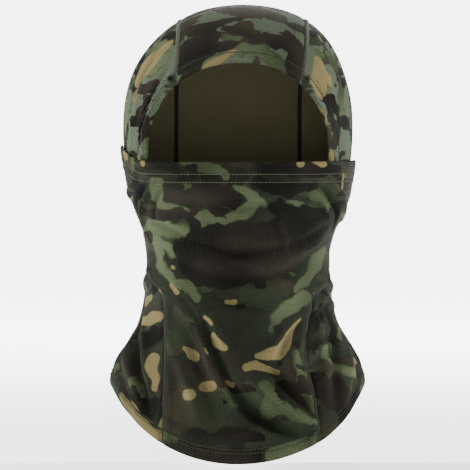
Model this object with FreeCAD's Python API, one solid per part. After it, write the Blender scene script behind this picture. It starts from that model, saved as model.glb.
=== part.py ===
"""Camouflage hood with a pull-down face cover, cut and sewn from knit cloth. Millimetres.

Frame: the origin is the midpoint between the ears, on the line about which the cover's hem swings.
+Z is up, the wearer faces -Y, and +X is the wearer's left. Every panel is a patch of the worn shape with
one cloth's thickness. Hems are turned double, and their elastics lie in a tunnel inside them.
"""
import FreeCAD
import Part

import math
import os

Vector = FreeCAD.Vector

# Cloth and thread
CLOTH = 1.0  # one layer of knit
HEM = 2.2  # a turned hem, two layers with room for an elastic
ELASTIC = 0.7
TUNNEL_DEPTH = 0.75  # from a hem's outside to the elastic in it
THREAD = 0.6  # how far a stitch row stands out
SEAM_WIDTH = 4.6  # flatlock seam over a butted joint
ROW_WIDTH = 1.1  # one row of hem stitches
SEAM_GAP = 0.3  # between the cut edges that a flatlock joins
LIFT = 0.08  # a thread lies on the cloth, clear of it by this
SEAM_LIFT = 0.75  # a flatlock bridges two cloths, and stands off them by this

# Head of the hood: a rounded box with one exponent, widest at ear height
SQUARENESS = 2.3
CENTRE_Y = -5.0
WIDEST_Z = 26.0
CROWN_Z = 124.7
HALF_WIDTH = 88.3
FRONT_DEPTH = 92.0  # from CENTRE_Y, forwards
BACK_DEPTH = 104.0

# Below the widest level: (height, value), smooth between them
SIDE_LEVELS = [(-166, 97.8), (-152, 94.5), (-138, 86.6), (-122, 77.0), (-104, 72.2), (-84, 70.6),
               (-66, 67.8), (-50, 71.0), (-38, 76.5), (-20, 83.0), (4, 86.8), (WIDEST_Z, HALF_WIDTH)]
FRONT_LEVELS = [(-229, 104.0), (-195, 97.0), (-160, 90.0), (-125, 86.0), (-95, 88.0), (-60, 90.0),
                (WIDEST_Z, FRONT_DEPTH)]
BACK_LEVELS = [(-200, 109.0), (-165, 99.0), (-140, 86.0), (-118, 78.0), (-95, 77.0), (-65, 84.0),
               (-30, 96.0), (0, 103.0), (WIDEST_Z, BACK_DEPTH)]

# Seams, as distances from the middle plane
CROWN_SEAM_X = 49.0  # the strip over the crown and down the back is twice this wide
BIB_SEAM_X = 58.0

# Face opening: a near-circular arch seen from the front, edged by a band
ARCH_Z = 11.5
ARCH_RADIUS = 69.0
ARCH_SQUARENESS = 2.15
BAND = 9.5
BAND_END_Z = -46.0
BAND_PROUD = 0.2

# Front edge of a side panel between the arch and the bib's seam: (height, y)
JAW_EDGE = [(-95, -60.8), (-84, -48.0), (-68, -33.0), (-54, -29.0), (-40, -32.0), (-25, -38.5), (-8, -47.0)]

# Face cover: its own outer layer over the cheeks, sewn down behind them
COVER_HEM_TOP = 5.4
COVER_HEM_BOTTOM = -13.0
COVER_SEAM_TOP = -33.0  # the row that sews the cover down ends where its hem reaches, pulled down
FOLD_Z = -95.0  # the cover folds here when its hem is pulled down
COVER_CLEARANCE = [(-95, 0.0), (-86, 2.9), (-74, 3.3), (-50, 3.3), (-38, 3.4), (-13, 3.5), (6, 3.7)]
COVER_FRONT_LEVELS = [(-95, 88.0), (-68, 93.0), (-50, 97.5), (-32, 101.5), (-18, 102.0), (6, 98.5)]
COVER_REAR_EDGE = [(-95, -60.8), (-84, -46.5), (-70, -28.0), (-56, -18.0), (-40, -10.0), (-13, 1.0), (6, 4.0)]
CORNER_RADIUS = 3.6  # bar tack at each end of the hem, on the line it swings about

# Bottom hem: highest on the shoulders, lower at the chest and the back
SHOULDER_Z = -165.6
CHEST_DROP = 57.0
BACK_DROP = 35.0
CREST = 0.35  # how softly the hem line turns over the shoulder
BOTTOM_HEM = 11.5

# Stitch rows, measured from the free edge of their hem
COVER_ROWS = (9.5, 15.5)
BOTTOM_ROWS = (8.2, 11.0)
BAND_ROWS = (7.8,)


def smooth(levels, at):
    """The value at a height, on a monotone cubic through (height, value) pairs in rising order."""
    if at <= levels[0][0]:
        return levels[0][1]
    if at >= levels[-1][0]:
        return levels[-1][1]
    rises = [(b[1] - a[1]) / (b[0] - a[0]) for a, b in zip(levels, levels[1:])]
    slopes = [0.0]
    for before, after in zip(rises, rises[1:]):
        same_way = before * after > 0
        slopes.append(2 * before * after / (before + after) if same_way else 0.0)
    slopes.append(0.0)
    i = max(k for k in range(len(rises)) if levels[k][0] <= at)
    (z0, v0), (z1, v1) = levels[i], levels[i + 1]
    span = z1 - z0
    t = (at - z0) / span
    return ((1 + 2 * t) * (1 - t) ** 2 * v0 + t * (1 - t) ** 2 * span * slopes[i]
            + t * t * (3 - 2 * t) * v1 + t * t * (t - 1) * span * slopes[i + 1])


def remainder(share, power):
    """What a superellipse leaves for its last coordinate, as a share of that radius."""
    return max(0.0, 1.0 - share) ** (1.0 / power)


def dome_share(z):
    """How much of the superellipse the height takes, above the widest level."""
    return (max(0.0, z - WIDEST_Z) / (CROWN_Z - WIDEST_Z)) ** SQUARENESS


def half_width(z):
    return smooth(SIDE_LEVELS, z)


def cover_half_width(z):
    """The cover's outside stands off the hood's by a clearance that fades out at the fold."""
    return half_width(z) + smooth(COVER_CLEARANCE, z)


def front_y(x, z):
    """The hood's front at a distance from the middle plane and a height."""
    share = abs(x / half_width(z)) ** SQUARENESS + dome_share(z)
    return CENTRE_Y - smooth(FRONT_LEVELS, z) * remainder(share, SQUARENESS)


def back_y(x, z):
    share = abs(x / half_width(z)) ** SQUARENESS + dome_share(z)
    return CENTRE_Y + smooth(BACK_LEVELS, z) * remainder(share, SQUARENESS)


def side_x(y, z):
    """The hood's side, as a positive distance from the middle plane."""
    depth = smooth(BACK_LEVELS if y > CENTRE_Y else FRONT_LEVELS, z)
    share = abs((y - CENTRE_Y) / depth) ** SQUARENESS + dome_share(z)
    return half_width(z) * remainder(share, SQUARENESS)


def over_crown(x, turn):
    """A point of the dome at a distance from the middle plane, turn radians up from straight back."""
    depth = BACK_DEPTH if math.cos(turn) > 0 else FRONT_DEPTH
    along = abs(math.cos(turn) / depth) ** SQUARENESS
    up = abs(math.sin(turn) / (CROWN_Z - WIDEST_Z)) ** SQUARENESS
    reach = ((1 - abs(x / HALF_WIDTH) ** SQUARENESS) / (along + up)) ** (1 / SQUARENESS)
    return Vector(x, CENTRE_Y + reach * math.cos(turn), WIDEST_Z + reach * math.sin(turn))


def turn_of(point):
    return math.atan2(point.z - WIDEST_Z, point.y - CENTRE_Y)


def arch_z(x, radius):
    """Height of the face opening's arch at a distance from the middle plane."""
    return ARCH_Z + radius * remainder(abs(x / radius) ** ARCH_SQUARENESS, ARCH_SQUARENESS)


def arch_x(z, radius):
    return radius * remainder(abs(max(0.0, z - ARCH_Z) / radius) ** ARCH_SQUARENESS, ARCH_SQUARENESS)


def hem_z(x, back):
    """Height of the bottom hem's free edge. It is a function of how far round the wearer the point is."""
    facing = math.sqrt(max(0.0, 1 - (x / half_width(SHOULDER_Z)) ** 2))
    soft = (math.sqrt(facing ** 2 + CREST ** 2) - CREST) / (math.sqrt(1 + CREST ** 2) - CREST)
    return SHOULDER_Z - (BACK_DROP if back else CHEST_DROP) * soft


def bottom_z(x, back):
    """Height of the seam between the bottom hem and a panel."""
    return hem_z(x, back) + BOTTOM_HEM


def edge_y(z):
    """Front edge of a side panel: the arch's band, then the jaw, then the bib's seam."""
    if z >= ARCH_Z:
        return front_y(arch_x(z, ARCH_RADIUS + BAND), z)
    if z <= JAW_EDGE[0][0]:
        return front_y(BIB_SEAM_X, z)
    top = (ARCH_Z, front_y(ARCH_RADIUS + BAND, ARCH_Z))
    return smooth([JAW_EDGE[0], *JAW_EDGE[1:], top], z)


def mix(a, b, t):
    return a + (b - a) * t


def patch_solid(point_at, columns, rows, thick, lift=0.0):
    """A closed solid over a four-sided patch. point_at(u, v) is the worn shape; thick goes inwards."""
    step = 1e-3

    def raised(u, v, height):
        here = point_at(u, v)
        du = point_at(min(1, u + step), v) - point_at(max(0, u - step), v)
        dv = point_at(u, min(1, v + step)) - point_at(u, max(0, v - step))
        return here + du.cross(dv).normalize() * height

    def layer(height):
        grid = [[raised(i / (columns - 1), j / (rows - 1), height) for j in range(rows)]
                for i in range(columns)]
        surface = Part.BSplineSurface()
        surface.interpolate(grid)
        return surface

    outer, inner = layer(lift), layer(lift - thick)
    faces = [outer.toShape(), inner.toShape()]
    for end in (0, 1):
        for name in ("uIso", "vIso"):
            edges = []
            for surface in (outer, inner):
                low_u, high_u, low_v, high_v = surface.bounds()
                at = (low_u, high_u)[end] if name == "uIso" else (low_v, high_v)[end]
                edges.append(getattr(surface, name)(at).toShape())
            faces.append(Part.makeRuledSurface(*edges, 1))
    shell = Part.Shell(faces)
    shell.sewShape()
    solid = Part.Solid(shell)
    if solid.Volume < 0:
        solid.reverse()
    assert solid.isValid() and solid.isClosed(), "an open patch"
    return solid


def mirrored(point_at, side):
    """point_at for one side: 1 is the wearer's left. The columns run the other way on the right."""
    if side > 0:
        return point_at

    def other(u, v):
        p = point_at(1 - u, v)
        return Vector(-p.x, p.y, p.z)

    return other


# The hood's cloth


def crown_strip(x_of):
    """A point of the strip from the brow over the crown and down the back. x_of(u) is its line across."""
    nape = 0.56  # share of the strip's rows that lie over the head

    def point_at(u, v):
        x = x_of(u)
        if v <= nape:
            brow_z = arch_z(x, ARCH_RADIUS + BAND)
            brow = turn_of(Vector(x, front_y(x, brow_z), brow_z))
            return over_crown(x, mix(brow, 0.0, v / nape))
        z = mix(WIDEST_Z, bottom_z(x, True), (v - nape) / (1 - nape))
        return Vector(x, back_y(x, z), z)

    return point_at


def make_crown_panel():
    reach = CROWN_SEAM_X - SEAM_GAP / 2
    return patch_solid(crown_strip(lambda u: mix(-reach, reach, u)), 9, 36, CLOTH)


def side_point(u, v):
    """A side panel's patch: u from its front edge to the back seam, v from the hem to the crown seam."""
    reach = CROWN_SEAM_X + SEAM_GAP / 2
    brow_z = arch_z(reach, ARCH_RADIUS + BAND)
    rear_z = WIDEST_Z + 0.6 * (CROWN_Z - WIDEST_Z)
    chest_z = bottom_z(BIB_SEAM_X, False)
    rear_hem_z = bottom_z(CROWN_SEAM_X, True)

    def front(t):
        z = mix(chest_z, brow_z, t)
        return edge_y(z), z

    def back(t):
        z = mix(rear_hem_z, rear_z, t)
        return back_y(reach, z), z

    brow_turn = turn_of(Vector(reach, front_y(reach, brow_z), brow_z))
    rear_turn = turn_of(Vector(reach, back_y(reach, rear_z), rear_z))

    def top(t):
        p = over_crown(reach, mix(brow_turn, rear_turn, t))
        return p.y, p.z

    hem_turn = hem_angles()[1][1:]

    def bottom(t):
        p = hem_strip(*hem_turn, BOTTOM_HEM, BOTTOM_HEM)(t, 0)
        return p.y, p.z

    def coons(axis):
        edges = (1 - u) * front(v)[axis] + u * back(v)[axis] + (1 - v) * bottom(u)[axis] + v * top(u)[axis]
        corners = ((1 - u) * (1 - v) * bottom(0)[axis] + u * (1 - v) * bottom(1)[axis]
                   + (1 - u) * v * top(0)[axis] + u * v * top(1)[axis])
        return edges - corners

    y, z = coons(0), coons(1)
    return Vector(side_x(y, z), y, z)


def make_side_panel(side):
    return patch_solid(mirrored(side_point, side), 21, 41, CLOTH)


def bib_point(u, v):
    x = mix(-1, 1, u) * (BIB_SEAM_X - SEAM_GAP)
    z = mix(bottom_z(x, False), FOLD_Z - SEAM_GAP / 2, v)
    return Vector(x, front_y(x, z), z)


def make_front_bib():
    return patch_solid(bib_point, 9, 11, CLOTH)


# The face opening's band and its elastic


def band_point(across):
    """A strip of the hood from one jaw over the brow to the other; across(v) is its distance from the free edge."""
    brow_share = math.pi * (ARCH_RADIUS + BAND / 2)
    jaw_share = ARCH_Z - BAND_END_Z
    jaw = jaw_share / (brow_share + 2 * jaw_share)

    def point_at(u, v):
        inwards = across(v)
        side = -1 if u < 0.5 else 1
        down = min(u, 1 - u) / jaw
        if down >= 1:
            turn = mix(-math.pi / 2, math.pi / 2, (u - jaw) / (1 - 2 * jaw))
            radius = ARCH_RADIUS + inwards
            share = (abs(math.sin(turn)) ** ARCH_SQUARENESS + math.cos(turn) ** ARCH_SQUARENESS)
            reach = radius * share ** (-1 / ARCH_SQUARENESS)
            x, z = reach * math.sin(turn), ARCH_Z + reach * math.cos(turn)
            return Vector(x, front_y(x, z), z)
        z = mix(BAND_END_Z, ARCH_Z, down)
        rear = edge_y(z)
        ahead = mix(1.0, front_reach(), down)
        y = rear - (BAND - inwards) * ahead
        return Vector(side * side_x(y, z), y, z)

    def front_reach():
        """How far forward the band reaches at the arch's foot, for each millimetre of its width."""
        inner, outer = front_y(ARCH_RADIUS, ARCH_Z), front_y(ARCH_RADIUS + BAND, ARCH_Z)
        return (outer - inner) / BAND

    return point_at


def make_opening_band():
    whole = patch_solid(band_point(lambda v: mix(0, BAND - SEAM_GAP, v)), 41, 4, HEM, BAND_PROUD)
    return whole.cut(make_opening_elastic())


def make_opening_elastic():
    """It fills a closed tunnel, sewn shut a little short of the band's ends."""
    along = band_point(lambda v: mix(2.0, 6.5, v))
    return patch_solid(lambda u, v: along(mix(0.01, 0.99, u), v), 41, 4, ELASTIC, BAND_PROUD - TUNNEL_DEPTH)


# The face cover


def cover_point(low, high, inset=0.0):
    """A patch of the cover between two heights, from one rear edge round the face to the other."""

    def point_at(u, v):
        z = mix(low, high, v)
        wide, deep = cover_half_width(z), smooth(COVER_FRONT_LEVELS, z)
        rear = smooth(COVER_REAR_EDGE, z) - inset - CENTRE_Y
        power = SQUARENESS
        if rear > 0:
            last = math.pi / 2 + math.asin((rear / deep) ** (power / 2))
        else:
            last = math.acos((-rear / deep) ** (power / 2))
        turn = mix(-last, last, u)
        x = math.copysign(wide * abs(math.sin(turn)) ** (2 / power), turn)
        y = CENTRE_Y - math.copysign(deep * abs(math.cos(turn)) ** (2 / power), math.cos(turn))
        return Vector(x, y, z)

    return point_at


def make_face_cover():
    return patch_solid(cover_point(FOLD_Z + SEAM_GAP / 2, COVER_HEM_BOTTOM - SEAM_GAP, 0.5), 25, 14, CLOTH)


def make_cover_elastic():
    """It stops short of the hem's ends, like the one in the opening's band."""
    return patch_solid(cover_point(COVER_HEM_TOP - 8.5, COVER_HEM_TOP - 1.5, 2.5), 25, 4, ELASTIC, -TUNNEL_DEPTH)


def make_cover_hem():
    whole = patch_solid(cover_point(COVER_HEM_BOTTOM, COVER_HEM_TOP), 25, 5, HEM)
    return whole.cut(make_cover_elastic())


# Threads: a raised strip over each seam, and the rows along each hem


def crown_seam(side):
    middle = side * CROWN_SEAM_X
    strip = crown_strip(lambda u: middle + mix(-SEAM_WIDTH / 2, SEAM_WIDTH / 2, u))
    return patch_solid(strip, 4, 36, THREAD, THREAD + SEAM_LIFT)


def bib_seam(side):
    """Over the joint of the bib and a side panel."""

    def point_at(u, v):
        x = side * BIB_SEAM_X + mix(-SEAM_WIDTH / 2, SEAM_WIDTH / 2, u)
        z = mix(bottom_z(x, False) + 0.5, FOLD_Z - 0.5, v)
        return Vector(x, front_y(x, z), z)

    return patch_solid(point_at, 4, 11, THREAD, THREAD + SEAM_LIFT)


def cover_seam(side):
    """The row that sews the cover's rear edge down, up to where the hem reaches when it is pulled down."""
    inset = 1.2

    def point_at(u, v):
        edge = cover_point(FOLD_Z + 4, COVER_SEAM_TOP, 0.5 + inset + mix(ROW_WIDTH, 0, u))
        return edge(1, v)

    return patch_solid(mirrored(point_at, side), 3, 12, THREAD, THREAD + SEAM_LIFT)


def cover_rows():
    """Two rows along the cover's hem, each a thin strip."""
    rows = []
    for below in COVER_ROWS:
        z = COVER_HEM_TOP - below
        strip = cover_point(z - ROW_WIDTH / 2, z + ROW_WIDTH / 2, 2.0)
        rows.append(patch_solid(strip, 25, 3, THREAD, THREAD + LIFT))
    return Part.makeCompound(rows)


def band_rows():
    rows = []
    for from_edge in BAND_ROWS:
        strip = band_point(lambda v: mix(from_edge - ROW_WIDTH / 2, from_edge + ROW_WIDTH / 2, v))
        rows.append(patch_solid(strip, 41, 3, THREAD, BAND_PROUD + THREAD + LIFT))
    return Part.makeCompound(rows)


# The bottom hem, one turned strip on each panel


def hem_strip(start, end, low, high):
    """Part of the hem: start and end are angles round the wearer from the chest, left positive."""
    wide = half_width(SHOULDER_Z)

    def point_at(u, v):
        turn = mix(start, end, u)
        x = wide * math.sin(turn)
        behind = math.cos(turn) < 0
        z = hem_z(x, behind) + mix(low, high, v)
        fitted = x * (1 - (1 - min(1.0, half_width(z) / wide)) * abs(x / wide) ** 4)
        return Vector(fitted, (back_y if behind else front_y)(fitted, z), z)

    return point_at


def hem_angles():
    """Each panel's name with the angles of its ends."""
    wide = half_width(SHOULDER_Z)
    bib = math.asin(BIB_SEAM_X / wide)
    crown = math.pi - math.asin(CROWN_SEAM_X / wide)
    return [("front", -bib, bib), ("left", bib, crown), ("back", crown, 2 * math.pi - crown),
            ("right", 2 * math.pi - crown, 2 * math.pi - bib)]


def make_bottom_hem(start, end):
    trim = SEAM_GAP / 2 / half_width(SHOULDER_Z)
    return patch_solid(hem_strip(start + trim, end - trim, 0, BOTTOM_HEM - SEAM_GAP), 13, 4, HEM, BAND_PROUD)


def bottom_rows():
    rows = []
    trim = 0.01
    for _, start, end in hem_angles():
        for above in BOTTOM_ROWS:
            strip = hem_strip(start + trim, end - trim, above - ROW_WIDTH, above)
            rows.append(patch_solid(strip, 13, 3, THREAD, BAND_PROUD + THREAD + LIFT))
    return Part.makeCompound(rows)


def corner_tack(side):
    """A round bar tack on the end of the cover's hem, centred on the line that the hem swings about."""
    deep = 1.0
    outside = cover_half_width(CORNER_RADIUS) + 2 * LIFT
    start = outside if side > 0 else -outside - deep
    return Part.makeCylinder(CORNER_RADIUS, deep, Vector(start, 0, 0), Vector(1, 0, 0))


def main():
    parts = {
        "crown_panel": make_crown_panel(),
        "front_bib": make_front_bib(),
        "opening_band": make_opening_band(),
        "opening_elastic": make_opening_elastic(),
        "opening_band_stitching": band_rows(),
        "face_cover": make_face_cover(),
        "cover_hem": make_cover_hem(),
        "cover_hem_elastic": make_cover_elastic(),
        "cover_hem_stitching": cover_rows(),
        "bottom_hem_stitching": bottom_rows(),
    }
    for name, side in (("left", 1), ("right", -1)):
        parts["side_panel_" + name] = make_side_panel(side)
        parts["crown_seam_" + name] = crown_seam(side)
        parts["bib_seam_" + name] = bib_seam(side)
        parts["cover_seam_" + name] = cover_seam(side)
        parts["cover_corner_tack_" + name] = corner_tack(side)
    for name, start, end in hem_angles():
        parts["bottom_hem_" + name] = make_bottom_hem(start, end)
    os.makedirs("parts", exist_ok=True)
    for name, shape in parts.items():
        shape.exportStep(f"parts/{name}.step")
        box = shape.BoundBox
        print(f"{name}: {len(shape.Solids)} solids, {shape.Volume:.0f} mm3, "
              f"x {box.XMin:.1f}..{box.XMax:.1f}, y {box.YMin:.1f}..{box.YMax:.1f}, z {box.ZMin:.1f}..{box.ZMax:.1f}")


main()
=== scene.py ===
"""Looks of the camouflage face mask: printed knit panels, turned hems, flatlock seams and stitch rows.

Shapes are worked out in millimetres on the CAD's worn surface and become metres when a mesh is made.
The wearer faces -Y and +X is the wearer's left. Every panel is a grid of points (columns, rows, 3).
"""

import math
from types import SimpleNamespace

import bpy
import numpy as np
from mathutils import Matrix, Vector


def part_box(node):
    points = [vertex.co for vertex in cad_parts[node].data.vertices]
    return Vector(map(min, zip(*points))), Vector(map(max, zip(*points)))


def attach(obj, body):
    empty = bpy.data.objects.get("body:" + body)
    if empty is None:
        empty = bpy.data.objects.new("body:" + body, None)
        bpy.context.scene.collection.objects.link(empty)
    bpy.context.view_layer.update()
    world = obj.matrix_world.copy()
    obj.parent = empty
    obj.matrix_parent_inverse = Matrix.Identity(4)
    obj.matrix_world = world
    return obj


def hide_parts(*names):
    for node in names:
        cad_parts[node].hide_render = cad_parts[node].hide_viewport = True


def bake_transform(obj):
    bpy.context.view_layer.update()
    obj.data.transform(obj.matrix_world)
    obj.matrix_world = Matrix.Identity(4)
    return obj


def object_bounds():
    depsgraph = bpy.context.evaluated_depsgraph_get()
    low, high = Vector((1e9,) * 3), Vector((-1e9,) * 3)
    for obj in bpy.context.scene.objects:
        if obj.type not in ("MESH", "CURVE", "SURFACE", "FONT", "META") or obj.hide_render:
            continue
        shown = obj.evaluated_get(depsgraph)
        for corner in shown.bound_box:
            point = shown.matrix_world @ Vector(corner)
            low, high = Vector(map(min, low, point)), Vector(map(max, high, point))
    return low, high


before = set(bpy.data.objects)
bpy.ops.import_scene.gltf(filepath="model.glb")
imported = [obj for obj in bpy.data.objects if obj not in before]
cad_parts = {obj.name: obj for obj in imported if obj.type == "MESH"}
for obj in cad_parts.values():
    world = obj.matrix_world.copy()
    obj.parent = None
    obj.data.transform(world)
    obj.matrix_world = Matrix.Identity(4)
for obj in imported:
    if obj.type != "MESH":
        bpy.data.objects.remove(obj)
CAD_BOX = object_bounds()
METRES = 0.001
CLOTH_UNIT = METRES * 10  # knit coordinates count lengths of 100 mm


def cad_box(node):
    """A CAD node's corners in millimetres."""
    low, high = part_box(node)
    return np.array(low) / METRES, np.array(high) / METRES


# Worn shape, as in the CAD
SQUARENESS = 2.3
CENTRE_Y = -5.0
WIDEST_Z = 26.0
CROWN_Z = cad_box("crown_panel")[1][2]
HALF_WIDTH = 88.3
FRONT_DEPTH = 92.0
BACK_DEPTH = 104.0
SIDE_LEVELS = [(-166, 97.8), (-152, 94.5), (-138, 86.6), (-122, 77.0), (-104, 72.2), (-84, 70.6),
               (-66, 67.8), (-50, 71.0), (-38, 76.5), (-20, 83.0), (4, 86.8), (WIDEST_Z, HALF_WIDTH)]
FRONT_LEVELS = [(-229, 104.0), (-195, 97.0), (-160, 90.0), (-125, 86.0), (-95, 88.0), (-60, 90.0),
                (WIDEST_Z, FRONT_DEPTH)]
BACK_LEVELS = [(-200, 109.0), (-165, 99.0), (-140, 86.0), (-118, 78.0), (-95, 77.0), (-65, 84.0),
               (-30, 96.0), (0, 103.0), (WIDEST_Z, BACK_DEPTH)]
CROWN_SEAM_X = 49.0
BIB_SEAM_X = 58.0
ARCH_Z = 11.5
ARCH_RADIUS = 69.0
ARCH_SQUARENESS = 2.15
BAND = 9.5
BAND_END_Z = cad_box("opening_band")[0][2]
JAW_EDGE = [(-95, -60.8), (-84, -48.0), (-68, -33.0), (-54, -29.0), (-40, -32.0), (-25, -38.5),
            (-8, -47.0)]
COVER_HEM_TOP = 5.4
COVER_HEM_BOTTOM = -13.0
FOLD_Z = -95.0
COVER_CLEARANCE = [(-95, 0.0), (-86, 2.9), (-74, 3.3), (-50, 3.3), (-38, 3.4), (-13, 3.5), (6, 3.7)]
COVER_FRONT_LEVELS = [(-95, 88.0), (-68, 93.0), (-50, 97.5), (-32, 101.5), (-18, 102.0), (6, 98.5)]
COVER_REAR_EDGE = [(-95, -60.8), (-84, -46.5), (-70, -28.0), (-56, -18.0), (-40, -10.0), (-13, 1.0), (6, 4.0)]
SHOULDER_Z = -165.6
CHEST_DROP = 57.0
BACK_DROP = 35.0
CREST = 0.35
BOTTOM_HEM = 11.5
PANEL_FOOT = BOTTOM_HEM - 0.5  # a panel goes on a little way inside its hem
COVER_FOOT = 1.5  # and so does the cover inside its own
COVER_INSET = 0.5  # the front cloth ends inside the cover's rear edges
NAPE = 0.56  # share of the crown strip that lies over the head
REAR_CORNER = 0.6  # a side panel's rear upper corner, as a share of the dome's height

# Cloth, hems and threads
CLOTH = 0.9
HEM_THICK = 2.0
HEM_NOSE = 1.3  # how far in from its free edge a hem is rounded
HEM_GROOVE = (0.5, 0.8)  # depth and half width of the groove along a row of stitches
AIM_Z = -52.4  # height that the camera looks at, and the middle of the front's print
MESH_STEP = 1.5  # spacing of a panel's grid
CROWN_SEAM_WIDTH = 3.8
BIB_SEAM_WIDTH = 2.2
SEAM_PITCH = 1.25  # between the threads that cross a flatlock
STITCH = 2.0
STITCH_PITCH = 2.9
THREAD_RADIUS = 0.36
SIDES = (("left", 1), ("right", -1))
THREAD_LIFT = 0.1  # how far a row of stitches stands off its groove
THREAD_RISE = 0.55  # how high a stitch arches, from a little way inside the cloth
THREAD_DIVE = 0.1
THREAD_TIP = 0.55  # a thread's radius at its two ends, as a share


def smooth(levels, at):
    """Monotone cubic through (height, value) pairs in rising order, at an array of heights."""
    z, v = np.array(levels, float).T
    rise = np.diff(v) / np.diff(z)
    both = rise[:-1] * rise[1:]
    slope = np.zeros(len(z))
    total = np.where(both > 0, rise[:-1] + rise[1:], 1.0)
    slope[1:-1] = np.where(both > 0, 2 * both / total, 0.0)
    at = np.clip(np.asarray(at, float), z[0], z[-1])
    i = np.clip(np.searchsorted(z, at, side="right") - 1, 0, len(rise) - 1)
    span = z[i + 1] - z[i]
    t = (at - z[i]) / span
    return ((1 + 2 * t) * (1 - t) ** 2 * v[i] + t * (1 - t) ** 2 * span * slope[i]
            + t * t * (3 - 2 * t) * v[i + 1] + t * t * (t - 1) * span * slope[i + 1])


def mix(a, b, t):
    return a + (b - a) * t


def bell(off, width):
    """1 where off is 0, and soon nothing beyond the width."""
    return np.exp(-(off / width) ** 2)


def step_between(low, high, x):
    """0 at low and 1 at high, smooth between them and flat outside."""
    t = np.clip((x - low) / (high - low), 0, 1)
    return t * t * (3 - 2 * t)


def points(x, y, z):
    return np.stack(np.broadcast_arrays(x, y, z), -1).astype(float)


def remainder(share, power):
    """What a superellipse leaves for one axis when the others have taken a share."""
    return np.maximum(0.0, 1.0 - share) ** (1.0 / power)


def dome_share(z):
    return (np.maximum(0.0, z - WIDEST_Z) / (CROWN_Z - WIDEST_Z)) ** SQUARENESS


def half_width(z):
    return smooth(SIDE_LEVELS, z)


SHOULDER = float(half_width(SHOULDER_Z))


def cover_half_width(z):
    return half_width(z) + smooth(COVER_CLEARANCE, z)


def front_y(x, z):
    share = np.abs(x / half_width(z)) ** SQUARENESS + dome_share(z)
    return CENTRE_Y - smooth(FRONT_LEVELS, z) * remainder(share, SQUARENESS)


def back_y(x, z):
    share = np.abs(x / half_width(z)) ** SQUARENESS + dome_share(z)
    return CENTRE_Y + smooth(BACK_LEVELS, z) * remainder(share, SQUARENESS)


def side_x(y, z):
    depth = np.where(y > CENTRE_Y, smooth(BACK_LEVELS, z), smooth(FRONT_LEVELS, z))
    share = np.abs((y - CENTRE_Y) / depth) ** SQUARENESS + dome_share(z)
    return half_width(z) * remainder(share, SQUARENESS)


def over_crown(x, turn):
    """The dome's point at an angle over the head, 0 at the back and pi at the front."""
    depth = np.where(np.cos(turn) > 0, BACK_DEPTH, FRONT_DEPTH)
    along = np.abs(np.cos(turn) / depth) ** SQUARENESS
    up = np.abs(np.sin(turn) / (CROWN_Z - WIDEST_Z)) ** SQUARENESS
    reach = ((1 - np.abs(x / HALF_WIDTH) ** SQUARENESS) / (along + up)) ** (1 / SQUARENESS)
    return points(x, CENTRE_Y + reach * np.cos(turn), WIDEST_Z + reach * np.sin(turn))


def turn_of(y, z):
    return np.arctan2(z - WIDEST_Z, y - CENTRE_Y)


def arch_z(x, radius):
    return ARCH_Z + radius * remainder(np.abs(x / radius) ** ARCH_SQUARENESS, ARCH_SQUARENESS)


def arch_x(z, radius):
    share = (np.maximum(0.0, z - ARCH_Z) / radius) ** ARCH_SQUARENESS
    return radius * remainder(share, ARCH_SQUARENESS)


def hem_z(x, back):
    """Height of the bottom hem's free edge."""
    facing = np.sqrt(np.maximum(0.0, 1 - (x / SHOULDER) ** 2))
    soft = (np.sqrt(facing ** 2 + CREST ** 2) - CREST) / (math.sqrt(1 + CREST ** 2) - CREST)
    return SHOULDER_Z - np.where(back, BACK_DROP, CHEST_DROP) * soft


def edge_y(z):
    """Front edge of a side panel."""
    top = (ARCH_Z, float(front_y(ARCH_RADIUS + BAND, ARCH_Z)))
    on_arch = front_y(arch_x(z, ARCH_RADIUS + BAND), z)
    on_jaw = smooth([*JAW_EDGE, top], z)
    on_bib = front_y(BIB_SEAM_X, z)
    return np.where(z >= ARCH_Z, on_arch, np.where(z <= JAW_EDGE[0][0], on_bib, on_jaw))


# Patches: each takes arrays u and v from 0 to 1 and returns the worn shape there


def crown_point(u, v, reach=CROWN_SEAM_X, middle=0.0):
    """The crown strip: u across it, v from the brow over the head and down the back."""
    x = middle + mix(-reach, reach, u)
    brow_z = arch_z(x, ARCH_RADIUS + BAND)
    brow = turn_of(front_y(x, brow_z), brow_z)
    over = over_crown(x, mix(brow, 0.0, np.minimum(v, NAPE) / NAPE))
    low = hem_z(x, True) + PANEL_FOOT
    z = mix(WIDEST_Z, low, np.maximum(0, v - NAPE) / (1 - NAPE))
    down = points(x, back_y(x, z), z)
    return np.where((v <= NAPE)[..., None], over, down)


def hem_turns():
    """Each hem's name with the angles of its ends, round the wearer from the chest, left positive."""
    bib = math.asin(BIB_SEAM_X / SHOULDER)
    crown = math.pi - math.asin(CROWN_SEAM_X / SHOULDER)
    return {"front": (-bib, bib), "left": (bib, crown), "back": (crown, 2 * math.pi - crown),
            "right": (2 * math.pi - crown, 2 * math.pi - bib)}


def hem_point(u, above, start, end):
    """A point of the bottom hem, above its free edge."""
    turn = mix(start, end, u)
    x = SHOULDER * np.sin(turn)
    behind = np.cos(turn) < 0
    z = hem_z(x, behind) + above
    narrower = 1 - np.minimum(1.0, half_width(z) / SHOULDER)
    fitted = x * (1 - narrower * np.abs(x / SHOULDER) ** 4)
    return points(fitted, np.where(behind, back_y(fitted, z), front_y(fitted, z)), z)


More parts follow.
